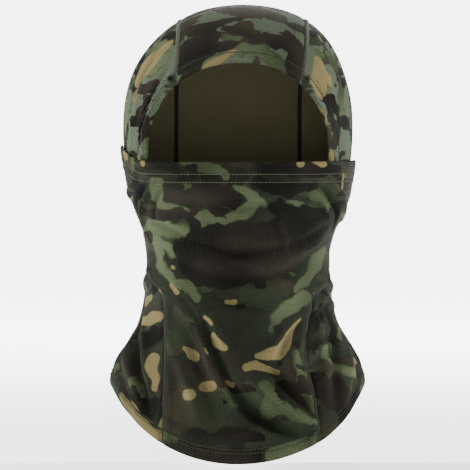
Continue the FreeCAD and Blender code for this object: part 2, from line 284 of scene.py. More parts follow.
def side_point(u, v):
    """The wearer's left side panel: u from its front edge to the back seam, v from the hem up."""
    reach = np.array(CROWN_SEAM_X)
    brow_z = arch_z(reach, ARCH_RADIUS + BAND)
    rear_z = WIDEST_Z + REAR_CORNER * (CROWN_Z - WIDEST_Z)
    chest_z = hem_z(np.array(BIB_SEAM_X), False) + PANEL_FOOT
    rear_hem_z = hem_z(reach, True) + PANEL_FOOT
    brow_turn = turn_of(front_y(reach, brow_z), brow_z)
    rear_turn = turn_of(back_y(reach, rear_z), rear_z)
    start, end = hem_turns()["left"]

    def front(t):
        z = mix(chest_z, brow_z, t)
        return points(0, edge_y(z), z)

    def back(t):
        z = mix(rear_hem_z, rear_z, t)
        return points(0, back_y(reach, z), z)

    def top(t):
        return over_crown(reach, mix(brow_turn, rear_turn, t))

    def bottom(t):
        return hem_point(t, PANEL_FOOT, start, end)

    a, b = u[..., None], v[..., None]
    edges = (1 - a) * front(v) + a * back(v) + (1 - b) * bottom(u) + b * top(u)
    zero, one = np.zeros_like(u), np.ones_like(u)
    corners = ((1 - a) * (1 - b) * bottom(zero) + a * (1 - b) * bottom(one)
               + (1 - a) * b * top(zero) + a * b * top(one))
    y, z = (edges - corners)[..., 1], (edges - corners)[..., 2]
    return points(side_x(y, z), y, z)


def section_point(turn, wide, deep):
    """A horizontal section's point at an angle round from the front."""
    x = np.copysign(wide * np.abs(np.sin(turn)) ** (2 / SQUARENESS), turn)
    y = CENTRE_Y - np.copysign(deep * np.abs(np.cos(turn)) ** (2 / SQUARENESS), np.cos(turn))
    return x, y


def cover_point(u, z, inset=0.0):
    """The face cover's outside between its rear edges."""
    wide, deep = cover_half_width(z), smooth(COVER_FRONT_LEVELS, z)
    rear = (smooth(COVER_REAR_EDGE, z) - inset - CENTRE_Y) / deep
    behind = math.pi / 2 + np.arcsin(np.maximum(rear, 0) ** (SQUARENESS / 2))
    ahead = np.arccos(np.maximum(-rear, 0) ** (SQUARENESS / 2))
    last = np.where(rear > 0, behind, ahead)
    x, y = section_point(mix(-last, last, u), wide, deep)
    return points(x, y, z)


def bib_point(u, z):
    """The bib's outside between its seams."""
    wide = half_width(z)
    last = np.arcsin((BIB_SEAM_X / wide) ** (SQUARENESS / 2))
    x, y = section_point(mix(-last, last, u), wide, smooth(FRONT_LEVELS, z))
    return points(x, y, z)


def front_point(u, v):
    """The front cloth, bib and cover in one: v from the bottom hem to the cover's hem."""
    last = math.asin((BIB_SEAM_X / SHOULDER) ** (SQUARENESS / 2))
    x, _ = section_point(mix(-last, last, u), SHOULDER, 1.0)
    z = mix(hem_z(x, False) + PANEL_FOOT, COVER_HEM_BOTTOM + COVER_FOOT, v)
    cover = cover_point(u, np.maximum(z, FOLD_Z), COVER_INSET)
    bib = bib_point(u, np.minimum(z, FOLD_Z))
    return np.where((z > FOLD_Z)[..., None], cover, bib)


def band_point(u, inwards):
    """The face opening's turned edge, from one jaw over the brow to the other."""
    brow_share = math.pi * (ARCH_RADIUS + BAND / 2)
    jaw_share = ARCH_Z - BAND_END_Z
    jaw = jaw_share / (brow_share + 2 * jaw_share)
    side = np.where(u < 0.5, -1.0, 1.0)
    down = np.minimum(u, 1 - u) / jaw
    turn = mix(-math.pi / 2, math.pi / 2, np.clip((u - jaw) / (1 - 2 * jaw), 0, 1))
    share = np.abs(np.sin(turn)) ** ARCH_SQUARENESS + np.abs(np.cos(turn)) ** ARCH_SQUARENESS
    reach = (ARCH_RADIUS + inwards) * share ** (-1 / ARCH_SQUARENESS)
    x, z = reach * np.sin(turn), ARCH_Z + reach * np.cos(turn)
    brow = points(x, front_y(x, z), z)
    inner, outer = (float(front_y(ARCH_RADIUS + more, ARCH_Z)) for more in (0, BAND))
    low_z = mix(BAND_END_Z, ARCH_Z, np.minimum(down, 1))
    ahead = mix(1.0, (outer - inner) / BAND, np.minimum(down, 1))
    y = edge_y(low_z) - (BAND - inwards) * ahead
    cheek = points(side * side_x(y, low_z), y, low_z)
    return np.where((down >= 1)[..., None], brow, cheek)


# Grids and their measures


def grid(columns, rows):
    return np.meshgrid(np.linspace(0, 1, columns), np.linspace(0, 1, rows), indexing="ij")


def unit(vectors):
    return vectors / np.maximum(np.linalg.norm(vectors, axis=-1, keepdims=True), 1e-9)


def normals(p):
    return unit(np.cross(np.gradient(p, axis=0), np.gradient(p, axis=1)))


def run(p, axis):
    """Length along a grid's lines, from their start."""
    steps = np.linalg.norm(np.diff(p, axis=axis), axis=-1)
    zero = np.zeros_like(np.take(steps, [0], axis))
    return np.concatenate([zero, np.cumsum(steps, axis)], axis)


def fitted_grid(point_at):
    """A patch's grid at about MESH_STEP."""
    coarse = point_at(*grid(25, 25))
    columns = int(run(coarse, 0)[-1].max() / MESH_STEP) + 2
    rows = int(run(coarse, 1)[:, -1].max() / MESH_STEP) + 2
    return grid(columns, rows)


def mirrored(p):
    """A left-hand grid as the right-hand one, with its outside still outside."""
    return p[::-1] * np.array([-1.0, 1.0, 1.0])


class Noise:
    """Smooth repeatable noise, about -1 to 1, on a lattice of a given spacing."""

    CELLS = 32

    def __init__(self, seed, size):
        self.size = np.asarray(size, float)
        self.values = np.random.RandomState(seed).uniform(-1, 1, (self.CELLS,) * 3)

    def __call__(self, p):
        q = p / self.size
        base = np.floor(q).astype(int)
        t = q - base
        t = t * t * (3 - 2 * t)
        total = 0.0
        for corner in np.ndindex(2, 2, 2):
            weight = np.prod([t[..., k] if corner[k] else 1 - t[..., k] for k in range(3)], axis=0)
            at = tuple((base[..., k] + corner[k]) % self.CELLS for k in range(3))
            total = total + weight * self.values[at]
        return total


# Folds. Each is a line on the cloth: where it lies, a width, a height, and its points


def smooth_line(knots, steps=36):
    """A curve through a few points."""
    knots = np.array(knots, float)
    padded = np.vstack([2 * knots[0] - knots[1], knots, 2 * knots[-1] - knots[-2]])
    t = np.linspace(0, len(knots) - 1 - 1e-6, steps)
    i = t.astype(int)
    f = (t - i)[:, None]
    a, b, c, d = (padded[i + k] for k in range(4))
    return 0.5 * (2 * b + (c - a) * f + (2 * a - 5 * b + 4 * c - d) * f ** 2
                  + (3 * b - a - 3 * c + d) * f ** 3)


ON_FRONT = 0.985  # a line seen from the front stays inside this share of the half width


def on_cloth(where, line):
    """Points given as (across, up) on the front, cover, back, left or right."""
    across, z = line[:, 0], line[:, 1]
    if where == "front":
        wide = ON_FRONT * half_width(z) * remainder(dome_share(z), SQUARENESS)
        across = np.clip(across, -wide, wide)
        return points(across, front_y(across, z), z)
    if where == "cover":
        share = np.abs(across / cover_half_width(z)) ** SQUARENESS
        return points(across, CENTRE_Y - smooth(COVER_FRONT_LEVELS, z) * remainder(share, SQUARENESS), z)
    if where == "back":
        return points(across, back_y(across, z), z)
    side = 1 if where == "left" else -1
    return points(side * side_x(across, z), across, z)


def both_sides(width, height, knots):
    return [(where, width, height, knots) for where in ("left", "right")]


def fold_height(p, folds):
    """How far the folds lift each point. A fold fades towards both ends of its line."""
    total = np.zeros(p.shape[:-1])
    for where, width, height, knots in folds:
        line = on_cloth(where, smooth_line(knots))
        near = np.full(total.shape, 1e9)
        fade = np.zeros(total.shape)
        for k, spot in enumerate(line):
            far = ((p - spot) ** 2).sum(-1)
            closer = far < near
            near = np.where(closer, far, near)
            fade = np.where(closer, math.sin(math.pi * (k + 1) / (len(line) + 1)) ** 0.6, fade)
        total += height * fade * np.exp(-near / width ** 2)
    return total


# The neck and skirt share these, on whichever piece they cross
BODY_FOLDS = [
    ("front", 4.6, 3.3, [(-54, -96), (-36, -112), (-25, -137), (-12, -164), (6, -188)]),
    ("front", 4.6, -2.6, [(-44, -98), (-28, -116), (-17, -139), (-4, -166), (12, -188)]),
    ("front", 4.6, 2.6, [(-34, -100), (-18, -120), (-8, -142), (4, -164)]),
    ("front", 5.0, -2.6, [(-54, -112), (-42, -122), (-34, -140), (-24, -166), (-16, -190)]),
    ("front", 5.0, 2.6, [(-56, -126), (-48, -146), (-38, -170), (-30, -196)]),
    ("front", 6.5, 6.5, [(4, -158), (18, -172), (40, -187), (60, -199)]),
    ("front", 4.6, -5.0, [(-2, -172), (14, -186), (36, -200), (54, -210)]),
    ("front", 4.6, -4.4, [(22, -150), (38, -166), (57, -184)]),
    ("front", 5.0, 3.0, [(54, -108), (40, -122), (28, -138), (20, -152)]),
    ("front", 4.0, -2.6, [(52, -118), (40, -131), (31, -146)]),
    ("front", 4.0, 2.4, [(57, -128), (48, -146), (52, -168)]),
    ("front", 4.0, -1.8, [(-20, -96), (4, -106), (30, -100)]),
    ("front", 2.4, 1.9, [(-50, -84), (-40, -96), (-31, -108), (-26, -124)]),
    ("front", 2.4, 1.8, [(-26, -138), (-22, -152), (-12, -166), (0, -180)]),
    ("front", 2.4, -1.8, [(30, -156), (42, -172), (57, -192)]),
    ("front", 2.4, 1.6, [(-10, -150), (2, -164), (10, -182)]),
    ("front", 2.6, -1.8, [(-57, -186), (-44, -194), (-20, -200), (6, -199)]),
    ("front", 3.6, 2.6, [(-71, -104), (-72, -126), (-72, -148), (-67, -178)]),
    ("front", 4.2, -7.5, [(-78, -110), (-80, -130), (-79, -150), (-73, -172), (-68, -192)]),
    ("front", 4.2, 3.6, [(-88, -138), (-84, -152), (-77, -170), (-72, -184)]),
    ("front", 4.0, -4.2, [(-94, -140), (-91, -158), (-85, -176), (-79, -194)]),
    ("right", 7.0, 1.6, [(-20, -128), (-16, -150), (-20, -170)]),
    ("right", 6.0, -3.0, [(0, -112), (2, -136), (2, -160)]),
    ("front", 3.6, 2.4, [(60, -106), (66, -122), (70, -146), (66, -180)]),
    ("front", 4.0, -5.5, [(68, -104), (74, -124), (78, -148), (74, -184)]),
    ("front", 4.2, 3.2, [(84, -136), (86, -152), (82, -174), (78, -190)]),
    ("front", 2.8, 2.0, [(58, -121), (66, -125), (76, -121)]),
    ("front", 2.6, -1.8, [(58, -127), (68, -131), (80, -127)]),
    ("front", 3.0, 2.2, [(60, -143), (70, -135), (82, -137)]),
    ("front", 2.6, -2.0, [(60, -150), (72, -142), (86, -145)]),
    ("front", 3.0, 2.0, [(62, -163), (74, -153), (88, -155)]),
    ("left", 7.0, 1.6, [(-20, -120), (-14, -146), (-16, -166)]),
    ("left", 6.0, -3.0, [(2, -108), (4, -136), (4, -158)]),
    ("left", 3.6, 2.6, [(-62, -94), (-44, -86), (-20, -90), (4, -96)]),
    ("left", 3.2, -2.4, [(-60, -101), (-42, -93), (-20, -97), (4, -102)]),
    ("left", 3.6, 2.4, [(-60, -108), (-42, -101), (-22, -104), (2, -110)]),
    ("left", 3.0, -2.0, [(-58, -114), (-40, -108), (-22, -111)]),
    ("right", 3.6, 2.6, [(-60, -88), (-42, -80), (-22, -86), (2, -94)]),
    ("right", 3.2, -2.2, [(-58, -94), (-40, -87), (-18, -94), (6, -102)]),
    ("left", 8.0, 4.0, [(20, -84), (22, -120), (26, -160)]),
    ("left", 7.0, -3.2, [(42, -90), (44, -124), (48, -168)]),
    ("right", 8.0, 4.0, [(22, -84), (24, -120), (26, -160)]),
    ("right", 7.0, -3.2, [(44, -90), (46, -124), (50, -168)]),
    ("back", 8.0, 3.6, [(-20, -90), (-22, -130), (-26, -176)]),
    ("back", 8.0, 3.4, [(24, -96), (22, -134), (20, -180)]),
    ("back", 7.0, -3.0, [(0, -86), (2, -120), (0, -150)]),
    ("back", 4.0, 1.8, [(-52, -70), (-20, -84), (20, -84), (52, -70)]),
    ("back", 4.0, -1.6, [(-50, -78), (-20, -92), (20, -92), (50, -78)]),
]
# The hood round the face opening, under the cover
HOOD_FOLDS = [
    ("front", 2.4, 3.8, [(-50, 73), (-61, 55), (-69, 34), (-72, 13)]),
    ("front", 2.2, -3.8, [(-55, 77), (-67, 56), (-74, 34), (-77, 12)]),
    ("front", 2.8, 3.4, [(-59, 85), (-72, 62), (-79, 38), (-82, 14)]),
    ("front", 2.4, -2.6, [(-64, 90), (-77, 63), (-84, 38)]),
    ("front", 1.8, -1.2, [(-50, 66), (-58, 60), (-66, 58)]),
    ("front", 1.8, -1.2, [(-58, 48), (-66, 44), (-74, 44)]),
    ("front", 1.8, 1.0, [(-60, 30), (-68, 28), (-78, 30)]),
    ("front", 2.4, 1.4, [(50, 68), (62, 48), (69, 22)]),
    ("front", 2.4, -1.5, [(55, 70), (67, 50), (74, 22)]),
    ("front", 3.0, 1.2, [(58, 84), (70, 62), (78, 34)]),
    ("front", 2.4, -1.0, [(-44, 84), (-20, 90), (6, 93)]),
    ("back", 6.0, 1.8, [(-60, -20), (-20, -44), (20, -44), (60, -20)]),
    ("back", 5.0, -1.6, [(-60, -36), (-20, -62), (20, -62), (60, -36)]),
    *both_sides(7.0, 1.8, [(10, -50), (40, -40), (70, -20)]),
    *both_sides(6.0, -1.6, [(0, -66), (40, -58), (76, -40)]),
]
# The cover
COVER_FOLDS = [
    ("cover", 5.0, 3.2, [(-62, -34), (-34, -50), (4, -56), (40, -52), (68, -36)]),
    ("cover", 4.2, -3.2, [(-60, -43), (-30, -59), (4, -65), (38, -61), (66, -45)]),
    ("cover", 4.6, 2.6, [(-54, -58), (-26, -72), (4, -76), (34, -72), (60, -57)]),
    ("cover", 4.0, -2.0, [(-46, -72), (-20, -84), (8, -86), (36, -80), (54, -68)]),
    ("cover", 2.6, -4.8, [(-68, -8), (-75, -20), (-78, -34), (-74, -50)]),
    ("cover", 2.6, 3.8, [(-63, -8), (-70, -22), (-73, -38), (-67, -56)]),
    ("cover", 2.6, 2.8, [(-76, -8), (-82, -20), (-83, -32)]),
    ("cover", 2.4, -2.4, [(-57, -14), (-63, -26), (-64, -42)]),
    ("cover", 2.6, 3.0, [(70, -10), (77, -20), (81, -32), (76, -48)]),
    ("cover", 2.6, -4.6, [(62, -13), (70, -22), (76, -34), (72, -48)]),
    ("cover", 2.6, 2.8, [(56, -16), (64, -26), (69, -40)]),
    ("cover", 4.0, 1.8, [(-56, -18), (-24, -22), (10, -22), (44, -19)]),
    ("cover", 3.0, -1.6, [(-40, -28), (-10, -31), (24, -29)]),
    ("cover", 3.0, 1.6, [(30, -36), (34, -52), (38, -66)]),
]
LIFT_Y = (-78.0, -14.0)
LIFT = 11.0  # the cover's right-hand corner rides up by this
HEM_FOLDS = 0.45  # share of a fold's height that is left at the bottom hem
HEM_FADE = (3.0, 30.0)  # and the heights over the hem between which it comes back
SLACK_HEIGHT = (0.25, 0.95)  # of the slow unevenness: on the head, and on the neck
RIPPLE_HEIGHT = (0.12, 0.32)  # of the quick one
LOOSE_FROM = (40, -60)  # heights between which the head's cloth becomes the neck's


def seam_draw(p):
    """The bib's seams are drawn in, with its edge rolled a little over them; the crown's are only sunk."""
    on_bib = step_between(-92, -99, p[..., 2]) * step_between(-30, -50, p[..., 1])
    off = np.abs(p[..., 0]) - BIB_SEAM_X
    rolled = 1.1 * bell(off + 4.2, 2.8) - 1.7 * bell(off - 0.4, 1.5)
    beside = np.abs(np.abs(p[..., 0]) - CROWN_SEAM_X)
    on_crown = np.maximum(step_between(40, 60, p[..., 2]), step_between(20, 50, p[..., 1]))
    return on_bib * rolled - 0.5 * on_crown * bell(beside, 3.0)


def drift(p):
    """The hood sits a little twisted: its crown and the bib's seams lie off to one side."""
    x, z = p[..., 0], p[..., 2]
    crown = 4.0 * step_between(50, 105, z) * np.maximum(0.0, 1 - (x / HALF_WIDTH) ** 4)
    ahead = step_between(-30, -60, p[..., 1])
    left = bell(x - 56, 22) * (3.0 * bell(z + 196, 18) - 7.5 * bell(z + 133, 27))
    right = 2.5 * bell(x + 56, 22) * bell(z + 145, 40)
    return crown + ahead * (left + right)


def folds_at(p, cover):
    """Height of the folds that cross a piece; they flatten towards the bottom hem."""
    height = fold_height(p, BODY_FOLDS)
    above = p[..., 2] - hem_z(p[..., 0], p[..., 1] > CENTRE_Y)
    height *= mix(HEM_FOLDS, 1.0, step_between(*HEM_FADE, above))
    return height + fold_height(p, COVER_FOLDS if cover else HOOD_FOLDS)


def worn(p, n, cover, folds=None):
    """Moves points of the worn shape along their normals: folds, slack and the pull of the seams."""
    height = folds_at(p, cover) if folds is None else folds
    below = step_between(*LOOSE_FROM, p[..., 2])
    loose = mix(*SLACK_HEIGHT, below) * SLACK(p) + mix(*RIPPLE_HEIGHT, below) * RIPPLE(p)
    height = height + loose + seam_draw(p)
    moved = p + n * height[..., None]
    moved[..., 0] += drift(p)
    if cover:
        back = step_between(*LIFT_Y, p[..., 1]) * (p[..., 0] < 0)
        top = step_between(-70, -6, p[..., 2])
        moved[..., 2] += LIFT * back * top
    return moved


SLACK = Noise(3, (30, 34, 26))
RIPPLE = Noise(5, (11, 13, 9))


# Cloth coordinates of the hood's sides: round the wearer from the middle of the front, and up over the dome


def section_at(x, y, z):
    """The angle of a point round its horizontal section, and the section's half width and depth."""
    shrink = remainder(dome_share(z), SQUARENESS)
    deep = np.where(y > CENTRE_Y, smooth(BACK_LEVELS, z), smooth(FRONT_LEVELS, z)) * shrink
    wide = half_width(z) * shrink
    ahead = (CENTRE_Y - y) / deep
    across = (np.abs(x) / wide) ** (SQUARENESS / 2)
    turn = np.arctan2(across, np.sign(ahead) * np.abs(ahead) ** (SQUARENESS / 2))
    return turn, wide, deep


SECTION_TURNS = np.linspace(0, math.pi, 181)
SECTION_LEVELS = np.linspace(-226.0, CROWN_Z - 2.0, 120)


def section_lengths():
    """Length round each section, by level and angle."""
    z, turn = np.meshgrid(SECTION_LEVELS, SECTION_TURNS, indexing="ij")
    shrink = remainder(dome_share(z), SQUARENESS)
    deep = np.where(turn > math.pi / 2, smooth(BACK_LEVELS, z), smooth(FRONT_LEVELS, z)) * shrink
    x, y = section_point(turn, half_width(z) * shrink, deep)
    return run(points(x, y, 0.0), 1)


def around(x, y, z):
    """Distance round the wearer from the middle of the front."""
    turn, _, _ = section_at(x, y, z)
    row = np.interp(z, SECTION_LEVELS, np.arange(len(SECTION_LEVELS)))
    column = np.interp(turn, SECTION_TURNS, np.arange(len(SECTION_TURNS)))
    i = np.minimum(row.astype(int), len(SECTION_LEVELS) - 2)
    j = np.minimum(column.astype(int), len(SECTION_TURNS) - 2)
    f, g = row - i, column - j
    low = mix(LENGTHS[i, j], LENGTHS[i, j + 1], g)
    high = mix(LENGTHS[i + 1, j], LENGTHS[i + 1, j + 1], g)
    return mix(low, high, f)


def up_cloth(z):
    """Height that goes on along the cloth over the dome."""
    level = np.linspace(WIDEST_Z, CROWN_Z - 0.5, 240)
    section = points(side_x(CENTRE_Y, level), 0, level)
    return np.where(z < WIDEST_Z, z, WIDEST_Z + np.interp(z, level, run(section[:, None], 0)[:, 0]))


LENGTHS = section_lengths()


def seen_ahead(chains):
    """Chains given as they are seen from the front, moved on to the cloth of a side."""
    found = []
    for chain in chains:
        x, z, radius = np.array(chain, float).T
        found.append(list(zip(around(x, front_y(x, z), z), up_cloth(z), radius)))
    return found


# The print. A shape is a chain of (across, up, radius) discs joined by their common tangents


def chain_depth(a, b, chain):
    """How deep each point lies inside a chain of discs; negative outside."""
    best = np.full(a.shape, -1e9)
    if len(chain) == 1:
        chain = chain * 2
    for (ax, ay, ar), (bx, by, br) in zip(chain, chain[1:]):
        dx, dy = bx - ax, by - ay
        t = np.clip(((a - ax) * dx + (b - ay) * dy) / max(dx * dx + dy * dy, 1e-6), 0, 1)
        far = np.hypot(a - ax - dx * t, b - ay - dy * t)
        best = np.maximum(best, ar + (br - ar) * t - far)
    return best


OUTSIDE = -6.0  # depth given to cloth that is well outside a layer's shapes
WANDERS = ((8.0, 1.0), (3.2, 0.35))  # spacing and share of the noises that move a shape's edge


def print_depth(a, b, shapes, seed, rough):
    """Depth inside a layer of the print, with edges that wander a little."""
    spot = np.stack([a, b, np.zeros_like(a)], -1)
    wander_a, wander_b = (rough * sum(share * Noise(seed + k, size)(spot) for size, share in WANDERS)
                          for k in (0, 1))
    a, b = a + wander_a, b + wander_b
    depth = np.full(a.shape, OUTSIDE)
    for shape in shapes:
        xs, ys, rs = np.array(shape, float).T
        reach = rs.max() + 4
        near = ((a > xs.min() - reach) & (a < xs.max() + reach)
                & (b > ys.min() - reach) & (b < ys.max() + reach))
        if near.any():
            found = chain_depth(a[near], b[near], shape)
            depth[near] = np.maximum(depth[near], found)
    return depth


def blots(a, b, seed, size, level):
    """Depth inside ragged patches that cover more of the cloth the lower the level is."""
    spot = np.stack([a, 1.5 * b, np.zeros_like(a)], -1)
    total = sum(Noise(seed + k, size / 2 ** k)(spot) / 1.9 ** k for k in range(4))
    return (total - level) * 0.4 * size


THROWS = 12  # tries for each shape
CLEAR = 2.6  # distance between two shapes' middles, as a share of their radii together


def scattered(seed, area, count, size, bends, avoid=None):
    """Chains of discs thrown over an area (low a, low b, high a, high b), clear of one another."""
    rng = np.random.RandomState(seed)
    shapes, centres = [], []
    low_a, low_b, high_a, high_b = area
    for _ in range(count * THROWS):
        if len(shapes) == count:
            break
        at = np.array([rng.uniform(low_a, high_a), rng.uniform(low_b, high_b)])
        radius = size * rng.uniform(0.55, 1.25)
        if avoid is not None and avoid(*at):
            continue
        if any(np.hypot(*(at - c)) < CLEAR * (radius + r) for c, r in centres):
            continue
        centres.append((at, radius))
        heading = rng.uniform(-0.5, 0.5) + math.pi * rng.randint(2)
        chain = [(at[0], at[1], radius)]
        for _ in range(rng.randint(1, bends + 1)):
            heading += rng.uniform(-0.8, 0.8)
            at = at + radius * rng.uniform(1.2, 2.2) * np.array([math.cos(heading), 0.75 * math.sin(heading)])
            chain.append((at[0], at[1], radius * rng.uniform(0.45, 1.1)))
        shapes.append(chain)
    return shapes


# Shapes given one by one on the front cloth, by (across, up) from the origin
FRONT_DARK = [
    [(-54, -22, 5), (-39, -24, 6), (-22, -20, 9), (-6, -24, 8), (-2, -30, 4)],
    [(-72, -36, 4), (-54, -38, 4), (-42, -36, 4), (-33, -43, 5), (-33, -53, 4), (-40, -60, 5)],
    [(-41, -64, 8), (-18, -60, 15), (6, -58, 14), (32, -56, 15), (56, -50, 12), (68, -42, 6)],
    [(-40, -74, 8), (-28, -82, 11), (-12, -84, 13), (8, -80, 12), (22, -80, 9), (40, -72, 8)],
    [(14, -12, 4), (30, -18, 6), (46, -16, 5), (60, -12, 3)],
    [(30, -32, 6), (46, -38, 6), (60, -38, 5), (74, -40, 4), (80, -30, 3)],
    [(-74, 3, 4), (-50, 1, 5), (-46, -6, 3)],
    [(-3, 1, 4), (20, -1, 5), (44, -1, 5), (70, -2, 5), (78, -8, 3)],
    [(-26, -9, 3), (-14, -10, 3)],
    [(-80, -10, 4), (-78, -22, 5), (-73, -34, 4)],
    [(-48, -155, 5), (-32, -152, 9), (-20, -158, 8), (-14, -168, 3)],
    [(-34, -122, 3), (-31, -132, 4), (-30, -142, 4)],
    [(0, -150, 8), (10, -162, 3)],
    [(46, -134, 2), (52, -138, 3)],
    [(-8, -204, 6), (4, -206, 7), (16, -208, 4)],
    [(-38, -204, 4), (-32, -208, 3)],
    [(-56, -178, 3), (-52, -170, 3)],
    [(6, -171, 3)],
]
FRONT_LIGHT = [
    [(-42, 4, 2.6), (-27, 1, 5.3), (-12, -5, 5.3)],
    [(-38, -8, 3.5), (-38, -15, 3.5), (-40, -20, 1.8)],
    [(-31, -18, 2.6)],
    [(-63, -13, 4.4), (-62, -23, 4.4), (-60, -30, 3.5), (-50, -31, 2.6), (-39, -33, 3.5), (-27, -39, 5.3),
     (-12, -41, 4.4), (2, -36, 6.2), (13, -27, 6.2), (22, -28, 2.6)],
    [(-3, -14, 2.6), (4, -17, 3.5), (13, -25, 5.3)],
    [(-27, -40, 4.4), (-26, -48, 1.8)],
    [(-68, -47, 5.3), (-54, -47, 6.2), (-41, -50, 5.3)],
    [(-64, -58, 6.2), (-55, -61, 6.2), (-50, -69, 3.5)],
    [(-62, -66, 4.4), (-60, -74, 3.5), (-54, -84, 4.4), (-48, -89, 3.5), (-39, -92, 4.4), (-33, -100, 3.5)],
    [(39, -26, 2.6), (45, -28, 3.5), (51, -29, 2.6)],
    [(58, -20, 3.5), (66, -24, 4.4), (70, -31, 3.5), (77, -30, 1.8)],
    [(31, -39, 1.8), (33, -50, 1.1), (37, -65, 1.1)],
    [(66, -66, 2.6), (62, -71, 4.4), (59, -79, 4.4), (54, -88, 4.4), (45, -94, 3.5)],
    [(41, -77, 1.9), (43, -84, 1.2)],
    [(52, -101, 6.2), (39, -110, 7), (30, -119, 5.3), (27, -125, 4.4)],
    [(-86, 8, 3.5), (-84, -7, 3.5)],
    [(21, -168, 5.3), (25, -178, 7), (20, -187, 5.3), (34, -187, 5.3), (46, -194, 3.5), (57, -198, 2.6)],
    [(51, -146, 3.5), (51, -162, 4.4), (53, -177, 3.5), (57, -188, 2.6)],
    [(-14, -165, 2.6), (-8, -173, 3.5), (-2, -182, 2.6)],
]
FRONT_MID = [
    [(-50, -186, 8), (-42, -180, 11), (-27, -188, 9), (-14, -190, 9), (-8, -194, 5)],
    [(-48, -198, 7), (-22, -200, 6)],
    [(-48, -118, 8), (-44, -130, 8), (-50, -140, 8)],
    [(10, -98, 9), (26, -96, 9), (36, -92, 6)],
    [(34, -166, 9), (42, -154, 7)],
    [(70, -12, 6), (62, -8, 5)],
    [(6, -177, 10)],
]
FRONT_TAN = [
    [(-76, 9, 1.6), (-73, 2, 2.1)],
    [(48.5, 2.5, 3.6)],
    [(59, 4, 2), (66, 3, 3.3)],
    [(84, -7, 2), (83, -17, 2.4)],
    [(-50, -78, 1.8)],
    [(-51, -92, 1.8), (-47, -97, 2.2)],
    [(-9, -104, 2), (-2, -104, 2.4)],
    [(-26, -116, 1.7), (-20, -121, 2)],
    [(-19, -130, 3), (-16, -136, 4), (-9.5, -140, 2.8)],
    [(-43, -140, 2), (-37, -145, 4.4), (-34, -146, 3.8)],
    [(-40, -176, 4), (-37, -176, 4.2)],
    [(-28, -170, 3.5), (-20, -169, 3.9)],
    [(-8, -166, 1.8), (-4, -168, 2)],
    [(15, -146, 2.2), (24, -145, 4.6), (34, -143, 6), (41, -137, 5.6), (45, -130, 4.6), (49, -123, 2.6),
     (52, -118, 1.2)],
    [(6, -155, 3), (13, -153, 3.6), (24, -156, 2.5), (32, -158, 2.1)],
    [(-25, -140, 0.9), (-23, -144, 1)],
]
# On the crown, by (across, distance back from the brow); negative is on the opening's turned edge
CROWN_DARK = [
    [(-42, 34, 6), (-29, 29, 6), (-17, 30, 5), (-3, 35, 4)],
    [(-44, 2, 8), (-40, 16, 9), (-30, 4, 9), (-26, 18, 8), (-36, -6, 6)],
    [(-18, 5, 4), (-7, 6, 3)],
    [(-12, 22, 4), (0, 17, 5), (7, 12, 6), (20, 13, 7), (32, 13, 9), (44, 12, 10), (40, -2, 8)],
    [(39, 38, 6), (49, 41, 6)],
    [(-42, 72, 12), (-20, 78, 9), (0, 82, 8)],
    [(24, 66, 4), (34, 72, 5)],
]
CROWN_LIGHT = [
    [(-2, 1, 5), (12, 1, 6), (24, -3, 5), (34, -8, 4)],
    [(-14, 15, 4), (-6, 12, 4)],
]
CROWN_MID = [[(0, 50, 14), (24, 46, 10)]]
CROWN_TAN = [[(-27, -9, 2), (-17, -6, 3.6), (-6, -1, 2)]]
# On the sides, as seen from the front, by (away from the middle, up)
LEFT_DARK = [
    [(72, 34, 4), (76, 27, 5), (73, 20, 5)],
    [(62, 36, 3), (66, 28, 3)],
    [(69, 52, 4), (76, 46, 4)],
    [(84, 60, 4), (86, 44, 4)],
    [(66, -112, 7), (56, -124, 6), (62, -134, 6)],
    [(60, -160, 7), (70, -172, 10), (82, -182, 8), (76, -160, 6)],
    [(90, -140, 5), (92, -158, 5)],
    [(52, 103, 4), (64, 98, 3)],
]
LEFT_LIGHT = [
    [(66, 88, 4), (74, 76, 5), (79, 62, 6), (77, 50, 5), (82, 36, 4)],
    [(58, 88, 2.4), (63, 84, 2.4)],
    [(86, 18, 3), (86, 6, 4)],
    [(78, 4, 3), (74, 0, 3)],
    [(70, -140, 5), (78, -150, 5), (88, -158, 3)],
    [(56, -146, 4), (60, -154, 3)],
    [(84, -116, 4), (78, -128, 4)],
]
LEFT_TAN = [
    [(57, 83, 3), (60, 76, 7), (61, 68, 10), (62.5, 61, 8)],
    [(69, 69, 3), (69.5, 64, 3.6)],
    [(58, 101, 1.8), (61, 97, 2)],
    [(55, 53, 1.1), (59, 48, 1.5), (62.6, 43, 1.3)],
    [(65, 40, 1.6), (66.4, 36, 1.3)],
    [(71, 13, 2), (71, 8, 3.6)],
    [(89, -152, 2.4), (90, -158, 2.4)],
]
RIGHT_DARK = [
    [(52, 102, 4), (60, 99, 4)],
    [(80, 62, 3), (70, 60, 5), (64, 64, 4)],
    [(69, 50, 5), (74, 42, 6), (70, 30, 6), (75, 24, 5)],
    [(84, 30, 4), (86, 12, 4)],
    [(73, 84, 3), (83, 74, 3)],
    [(60, -124, 6), (67, -128, 8), (75, -134, 7)],
    [(88, -130, 4), (86, -142, 6), (82, -156, 5)],
    [(64, -176, 4), (70, -184, 8), (78, -180, 8), (72, -196, 5)],
    [(66, -84, 3), (64, -94, 4)],
]
RIGHT_LIGHT = [
    [(60, 94, 6), (70, 86, 7), (78, 72, 7), (80, 62, 5)],
    [(86, 34, 4), (85, 20, 5)],
    [(56, 86, 4), (64, 76, 4), (69, 70, 3)],
    [(74, 61, 4), (71, 57, 3)],
    [(70, 28, 3), (69, 18, 3.4), (70, 10, 3)],
    [(84, 88, 3), (86, 44, 4)],
    [(86, -60, 3), (72, -70, 4)],
    [(83, -154, 4), (79, -164, 5), (76, -174, 4)],
    [(66, -206, 4), (60, -200, 3)],
]
